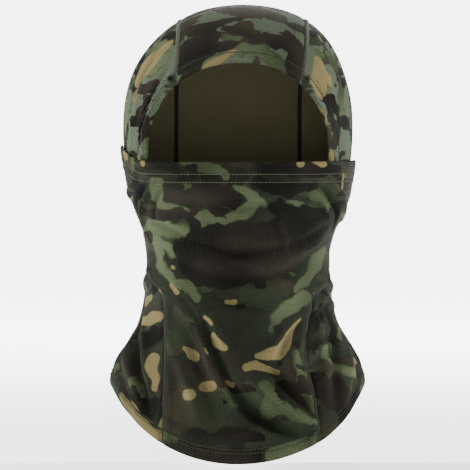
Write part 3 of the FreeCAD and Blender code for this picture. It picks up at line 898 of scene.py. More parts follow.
RIGHT_TAN = [
    [(54, 96, 3), (60, 90, 5), (67, 82, 8), (73, 75, 8), (77, 67, 6)],
    [(78, 58, 4), (80, 52, 4.4), (80, 47, 3)],
    [(83, 34, 2), (83, 29, 1.6)],
    [(76, 8, 2.4), (73, 3, 2.4)],
    [(67, -99, 3), (71, -104, 4.6)],
    [(61, -113, 4), (68, -115, 5.4), (73, -118, 3)],
    [(66, -145, 5.4), (67, -152, 5.2), (64, -160, 3.4), (64, -167, 2.4)],
    [(83, -177, 1.6), (76, -186, 2), (68, -193, 1.6)],
    [(58, -190, 2.4), (60, -203, 2.6)],
]
# On the bottom hem, by (distance round from the chest, left positive; up from the free edge)
HEM_DARK = [[(-36, 4, 8), (-10, 6, 9), (10, 4, 8)], [(92, 6, 9), (112, 5, 9)], [(-110, 9, 5)]]
HEM_LIGHT = [[(26, 3, 6), (42, 6, 7), (60, 4, 6)], [(-58, 9, 5), (-50, 10, 4)]]
HEM_TAN = [[(-112, 6, 3.4), (-96, 5, 4.6), (-78, 4, 5), (-64, 5, 4)], [(142, 6, 3)]]


# Scattered shapes of each layer: how many on a square of 100 mm, their size and their bends
SCATTER = {"mid": (5, 9, 3), "dark": (6, 7.5, 4), "light": (5, 5, 4), "tan": (5, 3.0, 2)}


def layers(seed, hand_placed, area, avoid):
    """The printed layers of a panel: the listed shapes, and scattered ones away from them."""
    share = (area[2] - area[0]) * (area[3] - area[1]) / 10000
    found = {}
    for k, (layer, (number, size, bends)) in enumerate(SCATTER.items()):
        thrown = scattered(seed + 10 * k, area, int(number * share), size, bends, avoid)
        found[layer] = hand_placed[k] + thrown
    return found


SIDE_AREA = (60, -220, 300, 130)
PRINTS = {
    "front": layers(100, (FRONT_MID, FRONT_DARK, FRONT_LIGHT, FRONT_TAN), (-140, -230, 140, 20),
                    lambda a, b: abs(a) < 84),
    "crown": layers(200, (CROWN_MID, CROWN_DARK, CROWN_LIGHT, CROWN_TAN), (-60, 60, 60, 600),
                    lambda a, b: b < 95),
    "left": layers(300, tuple(map(seen_ahead, ([], LEFT_DARK, LEFT_LIGHT, LEFT_TAN))), SIDE_AREA,
                   lambda a, b: a < 118),
    "right": layers(400, tuple(map(seen_ahead, ([], RIGHT_DARK, RIGHT_LIGHT, RIGHT_TAN))), SIDE_AREA,
                    lambda a, b: a < 118),
    "hem": layers(500, ([], HEM_DARK, HEM_LIGHT, HEM_TAN), (120, -4, 520, 16), lambda a, b: False),
}


# How green each panel's ground is, 0 dark to 1 sage: at its low end, its high end, and the heights between.
# The crown's sage ground is partly print and partly painted light where the top of the hood is lit
GROUND_LEVEL = {"front": (0.20, 0.12, -140, -80), "crown": (0.85, 0.6, 60, 300), "left": (0.2, 1.0, -90, 0),
                "right": (0.2, 1.0, -90, 0), "hem": (0.15, 0.15, 0, 1)}
# Seed and size of the slow changes in each layer's tone, in its warmth and in the ground
TONE = (77, 34.0)
WARMTH = (78, 26.0)
GROUND = (79, 30.0)
GROUND_SPREAD = 0.16
WARMER = {"crown": 0.45}  # the brow's darks are nearer a purple brown, and so lighter: partly their printed colour and partly painted light where the top of the hood is lit
ROUGH = {"mid": 3.2, "dark": 2.6, "light": 2.2, "tan": 0.9}  # how far the edges of a layer's shapes wander
EDGE_SEED = 40
SEED_STEP = 7
BLOTS = {"mid": (61, 26.0, 0.30), "dark": (66, 17.0, 0.62)}  # ragged patches added: seed, size and level


def printed(name, a, b):
    """Attributes of the print at cloth coordinates: one depth for each layer, and slow tone changes."""
    found = {}
    for k, (layer, shapes) in enumerate(PRINTS[name].items()):
        found["print_" + layer] = print_depth(a, b, shapes, EDGE_SEED + SEED_STEP * k, ROUGH[layer])
    for layer, patches in BLOTS.items():
        found["print_" + layer] = np.maximum(found["print_" + layer], blots(a, b, *patches))
    spot = np.stack([a, b, np.full_like(a, sum(map(ord, name)))], -1)
    found["print_tone"] = Noise(*TONE)(spot)
    found["print_warm"] = Noise(*WARMTH)(spot) + WARMER.get(name, 0.0)
    low, high, from_z, to_z = GROUND_LEVEL[name]
    level = mix(low, high, step_between(from_z, to_z, b))
    found["print_ground"] = level + GROUND_SPREAD * Noise(*GROUND)(spot)
    return found


# Meshes


def make_object(name, verts, faces, materials, material_of=None, attributes=None, uv=None):
    """A smooth mesh object from millimetre points."""
    mesh = bpy.data.meshes.new(name)
    mesh.from_pydata((np.asarray(verts) * METRES).tolist(), [], [[int(i) for i in f] for f in faces])
    for material in materials:
        mesh.materials.append(material)
    mesh.polygons.foreach_set("use_smooth", np.ones(len(mesh.polygons), bool))
    if material_of is not None:
        mesh.polygons.foreach_set("material_index", np.asarray(material_of, np.int32))
    for key, values in (attributes or {}).items():
        mesh.attributes.new(key, "FLOAT", "POINT").data.foreach_set("value", np.asarray(values, np.float32))
    if uv is not None:
        corner = np.zeros(len(mesh.loops), np.int32)
        mesh.loops.foreach_get("vertex_index", corner)
        mesh.uv_layers.new(name="cloth").data.foreach_set("uv", np.asarray(uv, np.float32)[corner].ravel())
    mesh.update()
    piece = bpy.data.objects.new(name, mesh)
    bpy.context.scene.collection.objects.link(piece)
    return piece


def grid_faces(columns, rows, start=0, loop=False):
    """Quads of a grid of points. loop joins the last row to the first."""
    index = start + np.arange(columns * rows).reshape(columns, rows)
    if loop:
        index = np.hstack([index, index[:, :1]])
    quads = np.stack([index[:-1, :-1], index[1:, :-1], index[1:, 1:], index[:-1, 1:]], -1)
    return quads.reshape(-1, 4)


def rim_faces(columns, rows):
    """Quads that join an outer grid to the inner one that follows it."""
    index = np.arange(columns * rows).reshape(columns, rows)
    round_edge = np.concatenate([index[:, 0], index[-1, 1:], index[::-1, -1][1:], index[0, ::-1][1:]])
    a, b = round_edge[:-1], round_edge[1:]
    inner = columns * rows
    return np.stack([b, a, a + inner, b + inner], -1)


def cloth_piece(name, p, thick, attributes, knit, materials):
    """One layer of knit: the outside grid p, its plain inside, and the cut edge."""
    columns, rows = p.shape[:2]
    n = normals(p)
    verts = np.concatenate([p.reshape(-1, 3), (p - n * thick).reshape(-1, 3)])
    outer = grid_faces(columns, rows)
    inner = grid_faces(columns, rows, columns * rows)[:, ::-1]
    rim = rim_faces(columns, rows)
    faces = np.concatenate([outer, inner, rim])
    material_of = np.concatenate([np.zeros(len(outer)), np.ones(len(inner) + len(rim))])
    attributes = {key: np.tile(value.ravel(), 2) for key, value in attributes.items()}
    uv = np.tile(np.stack(knit, -1).reshape(-1, 2) * CLOTH_UNIT, (2, 1))
    return make_object(name, verts, faces, materials, material_of, attributes, uv)


def thread_tubes(paths, radius, sides=6):
    """One mesh's points and faces for many short threads, each a path (n, 3) closed at its ends."""
    verts, faces = [], []
    start = 0
    for path in paths:
        along = unit(np.gradient(path, axis=0))
        aside = unit(np.cross(along, [0.3, 0.5, 0.81]))
        above = np.cross(aside, along)
        count = len(path)
        for k in range(count):
            r = radius * (THREAD_TIP if k in (0, count - 1) else 1.0)
            for s in range(sides):
                angle = 2 * math.pi * s / sides
                verts.append(path[k] + r * (math.cos(angle) * aside[k] + math.sin(angle) * above[k]))
        for k in range(count - 1):
            for s in range(sides):
                a, b = start + k * sides + s, start + k * sides + (s + 1) % sides
                faces.append([a, a + sides, b + sides, b])
        faces.append([start + s for s in range(sides)])
        faces.append([start + (count - 1) * sides + s for s in reversed(range(sides))])
        start += count * sides
    return np.array(verts), faces


# Materials


def new_material(name, roughness):
    """A material, and the helpers that add nodes to it, link them and set its shader."""
    material = bpy.data.materials.new(name)
    material.use_nodes = True
    tree = material.node_tree
    shader = tree.nodes["Principled BSDF"]
    shader.inputs["Roughness"].default_value = roughness

    def put(value, socket):
        if isinstance(value, bpy.types.NodeSocket):
            tree.links.new(value, socket)
        elif value is not None:
            socket.default_value = value

    def shade(socket, value):
        put(value, shader.inputs[socket])

    def math_node(operation, a, b=None, c=None):
        node = tree.nodes.new("ShaderNodeMath")
        node.operation = operation
        for value, socket in zip((a, b, c), node.inputs):
            put(value, socket)
        return node.outputs[0]

    def blend(share, a, b, how="MIX"):
        node = tree.nodes.new("ShaderNodeMix")
        node.data_type = "RGBA"
        node.blend_type = how
        put(share, node.inputs["Factor"])
        for value, socket in ((a, node.inputs["A"]), (b, node.inputs["B"])):
            put((*value, 1.0) if isinstance(value, tuple) else value, socket)
        return node.outputs["Result"]

    def attribute(key):
        node = tree.nodes.new("ShaderNodeAttribute")
        node.attribute_name = key
        return node.outputs["Fac"]

    def ramp(value, low, high):
        node = tree.nodes.new("ShaderNodeMapRange")
        node.interpolation_type = "SMOOTHSTEP"
        put(value, node.inputs["Value"])
        node.inputs["From Min"].default_value = low
        node.inputs["From Max"].default_value = high
        return node.outputs["Result"]

    def noise(scale, detail, where=None):
        node = tree.nodes.new("ShaderNodeTexNoise")
        node.inputs["Scale"].default_value = scale
        node.inputs["Detail"].default_value = detail
        if where is None:
            where = tree.nodes.new("ShaderNodeTexCoord").outputs["Object"]
        put(where, node.inputs["Vector"])
        return node.outputs["Fac"]

    def bump(height, strength, distance):
        node = tree.nodes.new("ShaderNodeBump")
        node.inputs["Strength"].default_value = strength
        node.inputs["Distance"].default_value = distance
        put(height, node.inputs["Height"])
        put(node.outputs["Normal"], shader.inputs["Normal"])

    return material, SimpleNamespace(put=put, shade=shade, math=math_node, blend=blend, ramp=ramp,
                                     attribute=attribute, noise=noise, bump=bump, nodes=tree.nodes)


LOOP_REPEAT = 2.0
LOOP_SLANT = 0.80


def knit_height(t):
    """A bird's-eye knit from the cloth's own coordinates: small raised loops on two slants."""
    uv = t.nodes.new("ShaderNodeUVMap")
    uv.uv_map = "cloth"
    split = t.nodes.new("ShaderNodeSeparateXYZ")
    t.put(uv.outputs["UV"], split.inputs[0])
    turn = 2 * math.pi / (LOOP_REPEAT * CLOTH_UNIT)
    across, up = split.outputs["X"], split.outputs["Y"]
    one = t.math("SINE", t.math("MULTIPLY", t.math("MULTIPLY_ADD", up, LOOP_SLANT, across), turn))
    other = t.math("SINE", t.math("MULTIPLY", t.math("MULTIPLY_ADD", up, -LOOP_SLANT, across), turn))
    return t.math("MULTIPLY_ADD", one, 0.32, t.math("MULTIPLY", t.math("MULTIPLY", one, other), 0.75))


GROUND_DARK = (0.0060, 0.0071, 0.0042)
GROUND_SAGE = (0.041, 0.052, 0.034)
MID_BROWN = (0.0170, 0.0138, 0.0088)
MID_GREEN = (0.0125, 0.0168, 0.0092)
LIGHT_GREEN = (0.0172, 0.0228, 0.0108)
LIGHT_PALE = (0.0440, 0.0545, 0.0280)
DARK = (0.0024, 0.0023, 0.0018)
DARK_BROWN = (0.0180, 0.0152, 0.0118)
TAN = (0.093, 0.077, 0.033)
TAN_SHADE = (0.050, 0.042, 0.019)
INSIDE = (0.088, 0.082, 0.047)
INSIDE_DARK = (0.070, 0.064, 0.036)
LOOP_TOP = (0.050, 0.053, 0.040)  # what the loops' tops catch of the light
LOOP_SHARE = 0.09
FOLD_PAINTED_LIGHT = 0.42  # how much ridges are lightened and valleys darkened: a painted highlight on the folds' ridges and painted shade in their valleys
SEAM_THREAD = (0.046, 0.051, 0.034)
HEM_THREAD = (0.046, 0.047, 0.031)
DARK_THREAD = (0.010, 0.011, 0.008)


def camo_knit():
    """The printed outside of the knit: four layers over a ground, each with an edge as soft as the ink's."""
    material, t = new_material("camo_knit", 0.72)

    def inked(colour, layer, soft, ink):
        return t.blend(t.ramp(t.attribute("print_" + layer), -soft, soft), colour, ink)

    def full(layer, scale, share, low, high):
        """Where a layer's ink is at its fullest, away from its edge by a distance that wanders."""
        depth = t.math("MULTIPLY_ADD", t.noise(scale, 3.0), share, t.attribute("print_" + layer))
        return t.ramp(depth, low, high)

    tone = t.ramp(t.attribute("print_tone"), -0.7, 0.7)
    warm = t.ramp(t.attribute("print_warm"), -0.5, 0.5)
    pale_share = t.math("MULTIPLY", tone, full("light", 120.0, 3.0, 0.9, 3.4))
    colour = t.blend(t.ramp(t.attribute("print_ground"), 0.0, 1.0), GROUND_DARK, GROUND_SAGE)
    colour = inked(colour, "mid", 0.5, t.blend(warm, MID_GREEN, MID_BROWN))
    colour = inked(colour, "light", 0.35, t.blend(pale_share, LIGHT_GREEN, LIGHT_PALE))
    colour = inked(colour, "dark", 0.35, t.blend(t.math("MULTIPLY", warm, 0.55), DARK, DARK_BROWN))
    colour = inked(colour, "tan", 0.3, t.blend(full("tan", 160.0, 1.6, 0.6, 1.7), TAN_SHADE, TAN))
    height = knit_height(t)
    relief = t.ramp(height, -1.0, 1.0)
    fuzz = t.noise(900.0, 2.0)
    shade = t.math("MULTIPLY_ADD", relief, 0.7, 0.62)
    shade = t.math("MULTIPLY", shade, t.math("MULTIPLY_ADD", fuzz, 0.4, 0.8))
    # painted shade in the folds' valleys and a painted highlight on their ridges, from the fold heights
    shade = t.math("MULTIPLY", shade, t.math("MULTIPLY_ADD", t.attribute("fold"), FOLD_PAINTED_LIGHT, 1.0))
    caught = t.math("MULTIPLY", t.math("MULTIPLY", relief, relief), LOOP_SHARE)
    colour = t.blend(caught, t.blend(1.0, colour, shade, "MULTIPLY"), LOOP_TOP)
    t.shade("Base Color", colour)
    t.shade("Roughness", t.math("MULTIPLY_ADD", fuzz, 0.2, 0.55))
    t.bump(height, 0.8, 0.0004)
    t.shade("Sheen Weight", 0.004)
    t.shade("Sheen Roughness", 0.4)
    t.shade("Sheen Tint", (0.75, 0.8, 0.65, 1.0))
    t.shade("Specular IOR Level", 0.02)
    return material


def plain_inside():
    """The unprinted back of the knit."""
    material, t = new_material("knit_inside", 0.85)
    colour = t.blend(t.noise(45.0, 4.0), INSIDE_DARK, INSIDE)
    height = knit_height(t)
    relief = t.ramp(height, -1.0, 1.0)
    colour = t.blend(t.math("MULTIPLY", relief, 0.5), colour, INSIDE)
    t.shade("Base Color", colour)
    t.bump(height, 0.4, 0.0003)
    t.shade("Sheen Weight", 0.008)
    t.shade("Specular IOR Level", 0.04)
    return material


def thread_material(name, colour, dark):
    """Spun thread: a twist along it, and some of it darker."""
    material, t = new_material(name, 0.6)
    mixed = t.blend(t.ramp(t.noise(650.0, 3.0), 0.3, 0.7), dark, colour)
    t.shade("Base Color", mixed)
    t.bump(t.noise(2600.0, 2.0), 0.4, 0.0001)
    t.shade("Sheen Weight", 0.015)
    t.shade("Specular IOR Level", 0.1)
    return material


def elastic_material():
    """Ribbed elastic, hidden in its tunnel."""
    material, t = new_material("elastic", 0.65)
    wave = t.nodes.new("ShaderNodeTexWave")
    wave.inputs["Scale"].default_value = 420.0
    wave.inputs["Distortion"].default_value = 0.6
    place = t.nodes.new("ShaderNodeTexCoord")
    t.put(place.outputs["Object"], wave.inputs["Vector"])
    colour = t.blend(wave.outputs["Fac"], (0.020, 0.021, 0.017), (0.045, 0.046, 0.038))
    t.shade("Base Color", colour)
    t.bump(wave.outputs["Fac"], 0.5, 0.0002)
    return material


KNIT = camo_knit()
BACK = plain_inside()
FLATLOCK = thread_material("flatlock_thread", SEAM_THREAD, (0.030, 0.034, 0.022))
FLATLOCK_BED = thread_material("flatlock_bed", (0.034, 0.038, 0.026), (0.014, 0.016, 0.011))
HEM_STITCH = thread_material("hem_thread", HEM_THREAD, (0.030, 0.031, 0.021))
BAND_STITCH = thread_material("band_thread", (0.022, 0.025, 0.017), (0.012, 0.013, 0.009))
SHADE_STITCH = thread_material("dark_thread", DARK_THREAD, (0.008, 0.009, 0.006))
ELASTIC = elastic_material()

# Panels


def arc_across(p, wrap_x):
    """Across the cloth from its middle: x near the front, and the cloth's own length beyond wrap_x."""
    length = run(p, 0)
    x = p[..., 0]
    middle = len(x) // 2
    to_left = slice(middle, None)
    halves = ((-1, slice(0, middle), slice(middle, None, -1)), (1, to_left, to_left))
    across = np.empty_like(x)
    for row in range(x.shape[1]):
        arc = length[:, row] - np.interp(0.0, x[:, row], length[:, row])
        for side, part, outwards in halves:
            reach = np.maximum.accumulate(np.abs(x[outwards, row]))
            far = np.abs(arc[part]) - np.interp(wrap_x, reach, np.abs(arc[outwards]))
            across[part, row] = np.where(far > 0, side * (wrap_x + far), x[part, row])
    return across


PRINT_SCALE = 1.02
PRINT_RAISED = 2.6
PRINT_WRAP = 78.0  # beyond this distance from the middle the front's print follows the cloth round


def front_print(p):
    """Coordinates of the front's print. They grow a little faster than the cloth, which shrinks the print."""
    up = PRINT_SCALE * (p[..., 2] - AIM_Z) + AIM_Z - PRINT_RAISED
    return PRINT_SCALE * arc_across(p, PRINT_WRAP), up


FULL_FOLD = 3.0  # a fold's painted shade and highlight grow with its height, and hardly any more beyond about this


def panel(name, p, cover, print_at, knit):
    """A panel of knit, in its folds, as one object. knit gives the coordinates that its loops follow."""
    folds = folds_at(p, cover)
    shaped = worn(p, normals(p), cover, folds)
    # fold carries the folds' heights, which the knit's colour turns into painted shade and painted highlight
    attributes = {**printed(*print_at), "fold": np.tanh(folds / FULL_FOLD)}
    return cloth_piece(name, shaped, CLOTH, attributes, knit, [KNIT, BACK])


def make_panels():
    crown = crown_point(*fitted_grid(crown_point))
    over_head = (crown[..., 0], run(crown, 1))
    left = side_point(*fitted_grid(side_point))
    on_left = (around(*np.moveaxis(left, -1, 0)), up_cloth(left[..., 2]))
    on_right = tuple(values[::-1] for values in on_left)
    front = front_point(*fitted_grid(front_point))
    loops = (np.copysign(around(*np.moveaxis(front, -1, 0)), front[..., 0]), front[..., 2])
    return [panel("crown_cloth", crown, False, ("crown", *over_head), over_head),
            panel("side_cloth_left", left, False, ("left", *on_left), on_left),
            panel("side_cloth_right", mirrored(left), False, ("right", *on_right), on_right),
            panel("front_cloth", front, True, ("front", *front_print(front)), loops)]


# Strips that follow the cloth: hems, seams and stitches


class Strip:
    """A narrow strip of the worn shape, in its folds. Its surface is a function of u along it and a
    distance across, and outwards is -1 where across runs the other way."""

    def __init__(self, surface, cover, outwards=1):
        self.surface, self.cover, self.outwards = surface, cover, outwards

    def at(self, u, across):
        """Cloth points and their normals."""
        base = self.surface(u, across)
        ahead, behind = (self.surface(np.clip(u + step, 0, 1), across) for step in (0.002, -0.002))
        over = self.surface(u, across + 0.5) - self.surface(u, across - 0.5)
        n = self.outwards * unit(np.cross(ahead - behind, over))
        return base, worn(base, n, self.cover), n

    def length(self):
        u = np.linspace(0, 1, 200)
        return run(self.at(u, np.zeros_like(u))[1][:, None], 0)[-1, 0]


def swept(name, strip, profile, print_of, materials, step=MESH_STEP, span=(0.0, 1.0)):
    """A closed section (across, height) swept along a strip."""
    columns, rows = int(strip.length() * (span[1] - span[0]) / step) + 2, len(profile)
    u, across = np.meshgrid(np.linspace(*span, columns), profile[:, 0], indexing="ij")
    base, body, n = strip.at(u, across)
    p = body + n * profile[None, :, 1, None]
    faces = grid_faces(columns, rows, loop=True)
    if strip.outwards > 0:
        faces = faces[:, ::-1]
    first, last = list(range(rows)), list(range((columns - 1) * rows, columns * rows))
    caps = [first[::-1], last] if strip.outwards > 0 else [first, last[::-1]]
    uv = np.stack([u.ravel() * strip.length(), across.ravel()], -1) * CLOTH_UNIT
    attributes = None
    if print_of:
        attributes = {key: value.ravel() for key, value in print_of(base, u, across).items()}
    return make_object(name, p.reshape(-1, 3), [*faces.tolist(), *caps], materials, None, attributes, uv)


def along_strip(strip, across, lift, span=(0.0, 1.0)):
    """A fine line along a strip: a function from a distance along, and the line's length."""
    u = np.linspace(*span, 900)
    _, body, n = strip.at(u, np.full_like(u, across))
    line = body + n * lift
    length = run(line[:, None], 0)[:, 0]

    def place(distance, height=0.0):
        spot = np.stack([np.interp(distance, length, line[:, k]) for k in range(3)], -1)
        up = np.stack([np.interp(distance, length, n[:, k]) for k in range(3)], -1)
        return spot + up * np.asarray(height)[..., None]

    return place, length[-1]


def stitch_paths(strip, across, lift, span=(0.0, 1.0)):
    """One row of lockstitches: short threads that rise out of the cloth and dive back in."""
    place, length = along_strip(strip, across, lift, span)
    t = np.linspace(0, 1, 7)
    arch = THREAD_RISE * np.sin(np.pi * t) ** 0.7 - THREAD_DIVE
    starts = np.arange(0.5, length - STITCH, STITCH_PITCH)
    return [place(start + STITCH * t, arch) for start in starts]


def thread_piece(name, paths, material, radius=THREAD_RADIUS):
    return make_object(name, *thread_tubes(paths, radius), [material])


def stitches(name, rows, material):
    return thread_piece(name, [path for row in rows for path in stitch_paths(*row)], material)


def hem_height(across, width, rows_at):
    """How proud a hem stands of the cloth, with a groove along each row of stitches."""
    deep, wide = HEM_GROOVE
    groove = sum(deep * bell(across - row, wide) for row in rows_at)
    return 0.4 * np.sin(np.pi * np.clip(across / width, 0, 1)) ** 0.5 - groove


def hem_profile(width, rows_at, thick=HEM_THICK):
    """A turned hem's section: down its outside to the free edge at zero, round it, and back inside."""
    outside = np.linspace(width, HEM_NOSE, int(width / 0.6))
    outer = np.stack([outside, hem_height(outside, width, rows_at)], -1)
    top = outer[-1, 1]
    turn = np.linspace(0.12, 0.88, 6) * math.pi
    middle, half = (top - thick) / 2, (top + thick) / 2
    nose = np.stack([HEM_NOSE * (1 - np.sin(turn)), middle + half * np.cos(turn)], -1)
    inside = np.linspace(HEM_NOSE, width - 0.2, int(width / 1.5))
    inner = np.stack([inside, np.full_like(inside, -thick)], -1)
    return np.concatenate([outer, nose, inner])


def flat_profile(low, high, top, bottom):
    """A slightly domed tape's section, from one edge over the outside to the other and back."""
    across = np.linspace(high, low, 9)
    share = (2 * (across - low) / (high - low) - 1) ** 4
    outer = np.stack([across, bottom + (top - bottom) * (1 - 0.75 * share)], -1)
    inner = np.array([(low, bottom), ((low + high) / 2, bottom), (high, bottom)])
    return np.concatenate([outer, inner])


HEM_WIDTH = COVER_HEM_TOP - COVER_HEM_BOTTOM
# How far in from its free edge each hem's rows of stitches run
COVER_ROWS = (9.5, 15.5)
BOTTOM_ROWS = (7.6, 10.6)
BAND_ROWS = (7.8,)
ELASTIC_SPAN = (0.03, 0.97)  # an elastic stops a little short of its tunnel's ends
ELASTIC_STEP = 4.0
TURNS = hem_turns()


def cover_hem_surface(u, across):
    return cover_point(u, COVER_HEM_TOP - across)


def hem_surface(which):
    return lambda u, across: hem_point(u, across, *TURNS[which])


def cover_hem_print(base, u, across):
    return printed("front", *front_print(base))


def bottom_print(which):
    def print_of(base, u, across):
        turn = mix(*TURNS[which], u)
        turn = np.where(turn > 1.5 * math.pi, turn - 2 * math.pi, turn)
        return printed("hem", turn * SHOULDER, across)
    return print_of


def opening_print(base, u, across):
    """The turned edge goes on with the print of the panel that it is turned from."""
    crown = printed("crown", base[..., 0], across - BAND)
    left, right = (printed(side, around(*np.moveaxis(base, -1, 0)), up_cloth(base[..., 2]))
                   for side in ("left", "right"))
    on_crown, on_left = np.abs(base[..., 0]) < CROWN_SEAM_X - 2, base[..., 0] > 0
    return {key: np.where(on_crown, crown[key], np.where(on_left, left[key], right[key])) for key in crown}


OPENING = Strip(band_point, False)
COVER_HEM = Strip(cover_hem_surface, True, -1)
BOTTOM = {which: Strip(hem_surface(which), False) for which in TURNS}
BOTTOM["front"].cover = True


def make_hems():
    hems = [swept("opening_band_cloth", OPENING, hem_profile(BAND, BAND_ROWS), opening_print, [KNIT]),
            swept("cover_hem_cloth", COVER_HEM, hem_profile(HEM_WIDTH, COVER_ROWS), cover_hem_print, [KNIT])]
    profile = hem_profile(BOTTOM_HEM, BOTTOM_ROWS)
    hems += [swept("bottom_hem_cloth_" + which, strip, profile, bottom_print(which), [KNIT])
             for which, strip in BOTTOM.items()]
    for name, strip, far_edge in (("opening", OPENING, 6.4), ("cover", COVER_HEM, 8.2)):
        tape = flat_profile(2.0, far_edge, -0.5, -1.2)
        hems.append(swept(name + "_elastic_strip", strip, tape, None, [ELASTIC], ELASTIC_STEP, ELASTIC_SPAN))
    return hems


def on_hem(strip, width, rows_at):
    """The rows of stitches on a hem, each in its own groove."""
    return [(strip, row, hem_height(np.array(row), width, rows_at) + THREAD_LIFT) for row in rows_at]


def make_hem_stitches():
    bottom = [row for strip in BOTTOM.values() for row in on_hem(strip, BOTTOM_HEM, BOTTOM_ROWS)]
    return [stitches("opening_band_stitches", on_hem(OPENING, BAND, BAND_ROWS), BAND_STITCH),
            stitches("cover_hem_stitches", on_hem(COVER_HEM, HEM_WIDTH, COVER_ROWS), HEM_STITCH),
            stitches("bottom_hem_stitches", bottom, BAND_STITCH)]


# Flatlock seams


CROWN_SEAM_SPAN = (-0.012, 1.02)  # it begins on the opening's turned edge and ends on the bottom hem
SEAM_INSET = 0.3  # a thread's ends lie this far inside the seam's edges
SEAM_SLANT = 0.55  # and half its slant along the seam is this
SEAM_ARCH = 0.35
SEAM_BED = (0.55, -0.1)  # top and bottom of the bed that the threads lie on
SEAM_ENDS = (1.0, 2.0)  # bare lengths before the first thread and after the last
RIDGE = 1.6  # half width of the ridge inside


def crown_seam_surface(side):
    def surface(u, across):
        return crown_point((side * across + 1) / 2, mix(*CROWN_SEAM_SPAN, u), 1.0, side * CROWN_SEAM_X)

    return surface


def bib_seam_surface(side):
    def surface(u, across):
        x = side * BIB_SEAM_X + side * across
        z = mix(hem_z(x, False) + 0.6, FOLD_Z + 1.0, u)
        return points(x, front_y(x, z), z)

    return surface


def flatlock(name, strip, width, thread, bed_material):
    """Threads laid side by side over a joint, on a low bed, and the darker ridge that it makes inside."""
    bed = swept(name + "_bed", strip, flat_profile(-width / 2, width / 2, *SEAM_BED), None, [bed_material])
    fold = flat_profile(-RIDGE, RIDGE, -2 * CLOTH, -CLOTH + 0.1)
    ridge = swept(name + "_ridge", strip, fold, None, [SHADE_STITCH])
    place, length = along_strip(strip, 0.0, 0.5)
    left, _ = along_strip(strip, SEAM_INSET - width / 2, 0.3)
    right, _ = along_strip(strip, width / 2 - SEAM_INSET, 0.3)
    across = np.linspace(-1, 1, 7)
    hump = 1 - across ** 2
    share = ((across + 1) / 2)[:, None]
    paths = []
    for start in np.arange(SEAM_ENDS[0], length - SEAM_ENDS[1], SEAM_PITCH):
        at = start + SEAM_SLANT * across
        straight = mix(left(at, SEAM_ARCH * hump), right(at, SEAM_ARCH * hump), share)
        bowed = place(at) - mix(left(at), right(at), 0.5)
        paths.append(straight + bowed * hump[:, None])
    return joined(name, [thread_piece(name + "_threads", paths, thread), bed, ridge])


def joined(name, parts):
    """Several meshes as one piece."""
    for other in bpy.context.selected_objects:
        other.select_set(False)
    for part in parts:
        part.select_set(True)
    bpy.context.view_layer.objects.active = parts[0]
    bpy.ops.object.join()
    parts[0].name = name
    return parts[0]


def make_seams():
    seams = []
    for word, side in SIDES:
        crown = Strip(crown_seam_surface(side), False, -side)
        bib = Strip(bib_seam_surface(side), False, -side)
        seams.append(flatlock("crown_flatlock_" + word, crown, CROWN_SEAM_WIDTH, FLATLOCK, FLATLOCK_BED))
        seams.append(flatlock("bib_flatlock_" + word, bib, BIB_SEAM_WIDTH, SHADE_STITCH, SHADE_STITCH))
    return seams


# The cover's rear edges


EDGE_INSET = 1.6  # the strip's own line lies this far inside the edge
EDGE_ROW = 1.8  # how far across from it the row of stitches runs
EDGE_SUNK = -0.4
EDGE_SPAN = (0.0, 0.80)  # the share of a rear edge that its row of stitches covers
TACK_SPAN = (0.84, 0.99)  # and the share that the bar tack covers
TACK_ACROSS = (2.2, 2.6)  # how far across its threads reach, in turn
TACK_PITCH = 0.55
TACK_RADIUS = 0.34


def cover_edge_surface(side):
    """Just inside a rear edge of the cover, from the fold up to the hem."""

    def surface(u, across):
        z = mix(FOLD_Z + 2.0, COVER_HEM_TOP - 1.5, u)
        return cover_point(float(side > 0) + 0 * z, z, EDGE_INSET + across)

    return surface


def tack_paths(strip):
    """A bar tack: a tight zigzag of thread over the end of the cover's hem."""
    place, length = along_strip(strip, 0.6, THREAD_LIFT, TACK_SPAN)
    far_sides = [along_strip(strip, across, THREAD_LIFT, TACK_SPAN)[0] for across in TACK_ACROSS]
    t = np.linspace(0, 1, 5)
    hump = 0.35 * np.sin(np.pi * t)
    paths = []
    for k, at in enumerate(np.arange(0.3, length - 0.3, TACK_PITCH)):
        far_side = far_sides[k % 2]
        a, b = place(np.array(at)), far_side(np.array(at + 0.2))
        lift = far_side(np.array(at), 1.0) - far_side(np.array(at))
        paths.append(a + (b - a) * t[:, None] + lift * hump[:, None])
    return paths


def make_cover_edges():
    edges = []
    for word, side in SIDES:
        strip = Strip(cover_edge_surface(side), True, side)
        row = (strip, EDGE_ROW, EDGE_SUNK, EDGE_SPAN)
        edges.append(stitches("cover_edge_stitches_" + word, [row], BAND_STITCH))
        edges.append(thread_piece("corner_tack_" + word, tack_paths(strip), BAND_STITCH, TACK_RADIUS))
    return edges


# What follows what


def flat_size(p):
    """A panel's cut: its greatest width and length, and its area, from the shape with no folds, in metres."""
    width = run(p, 0)[-1].max() * METRES
    length = run(p, 1)[:, -1].max() * METRES
    cells = np.cross(np.diff(p, axis=0)[:, :-1], np.diff(p, axis=1)[:-1])
    area = np.linalg.norm(cells, axis=-1).sum() * METRES ** 2
    return (float(width), float(length)), float(area)


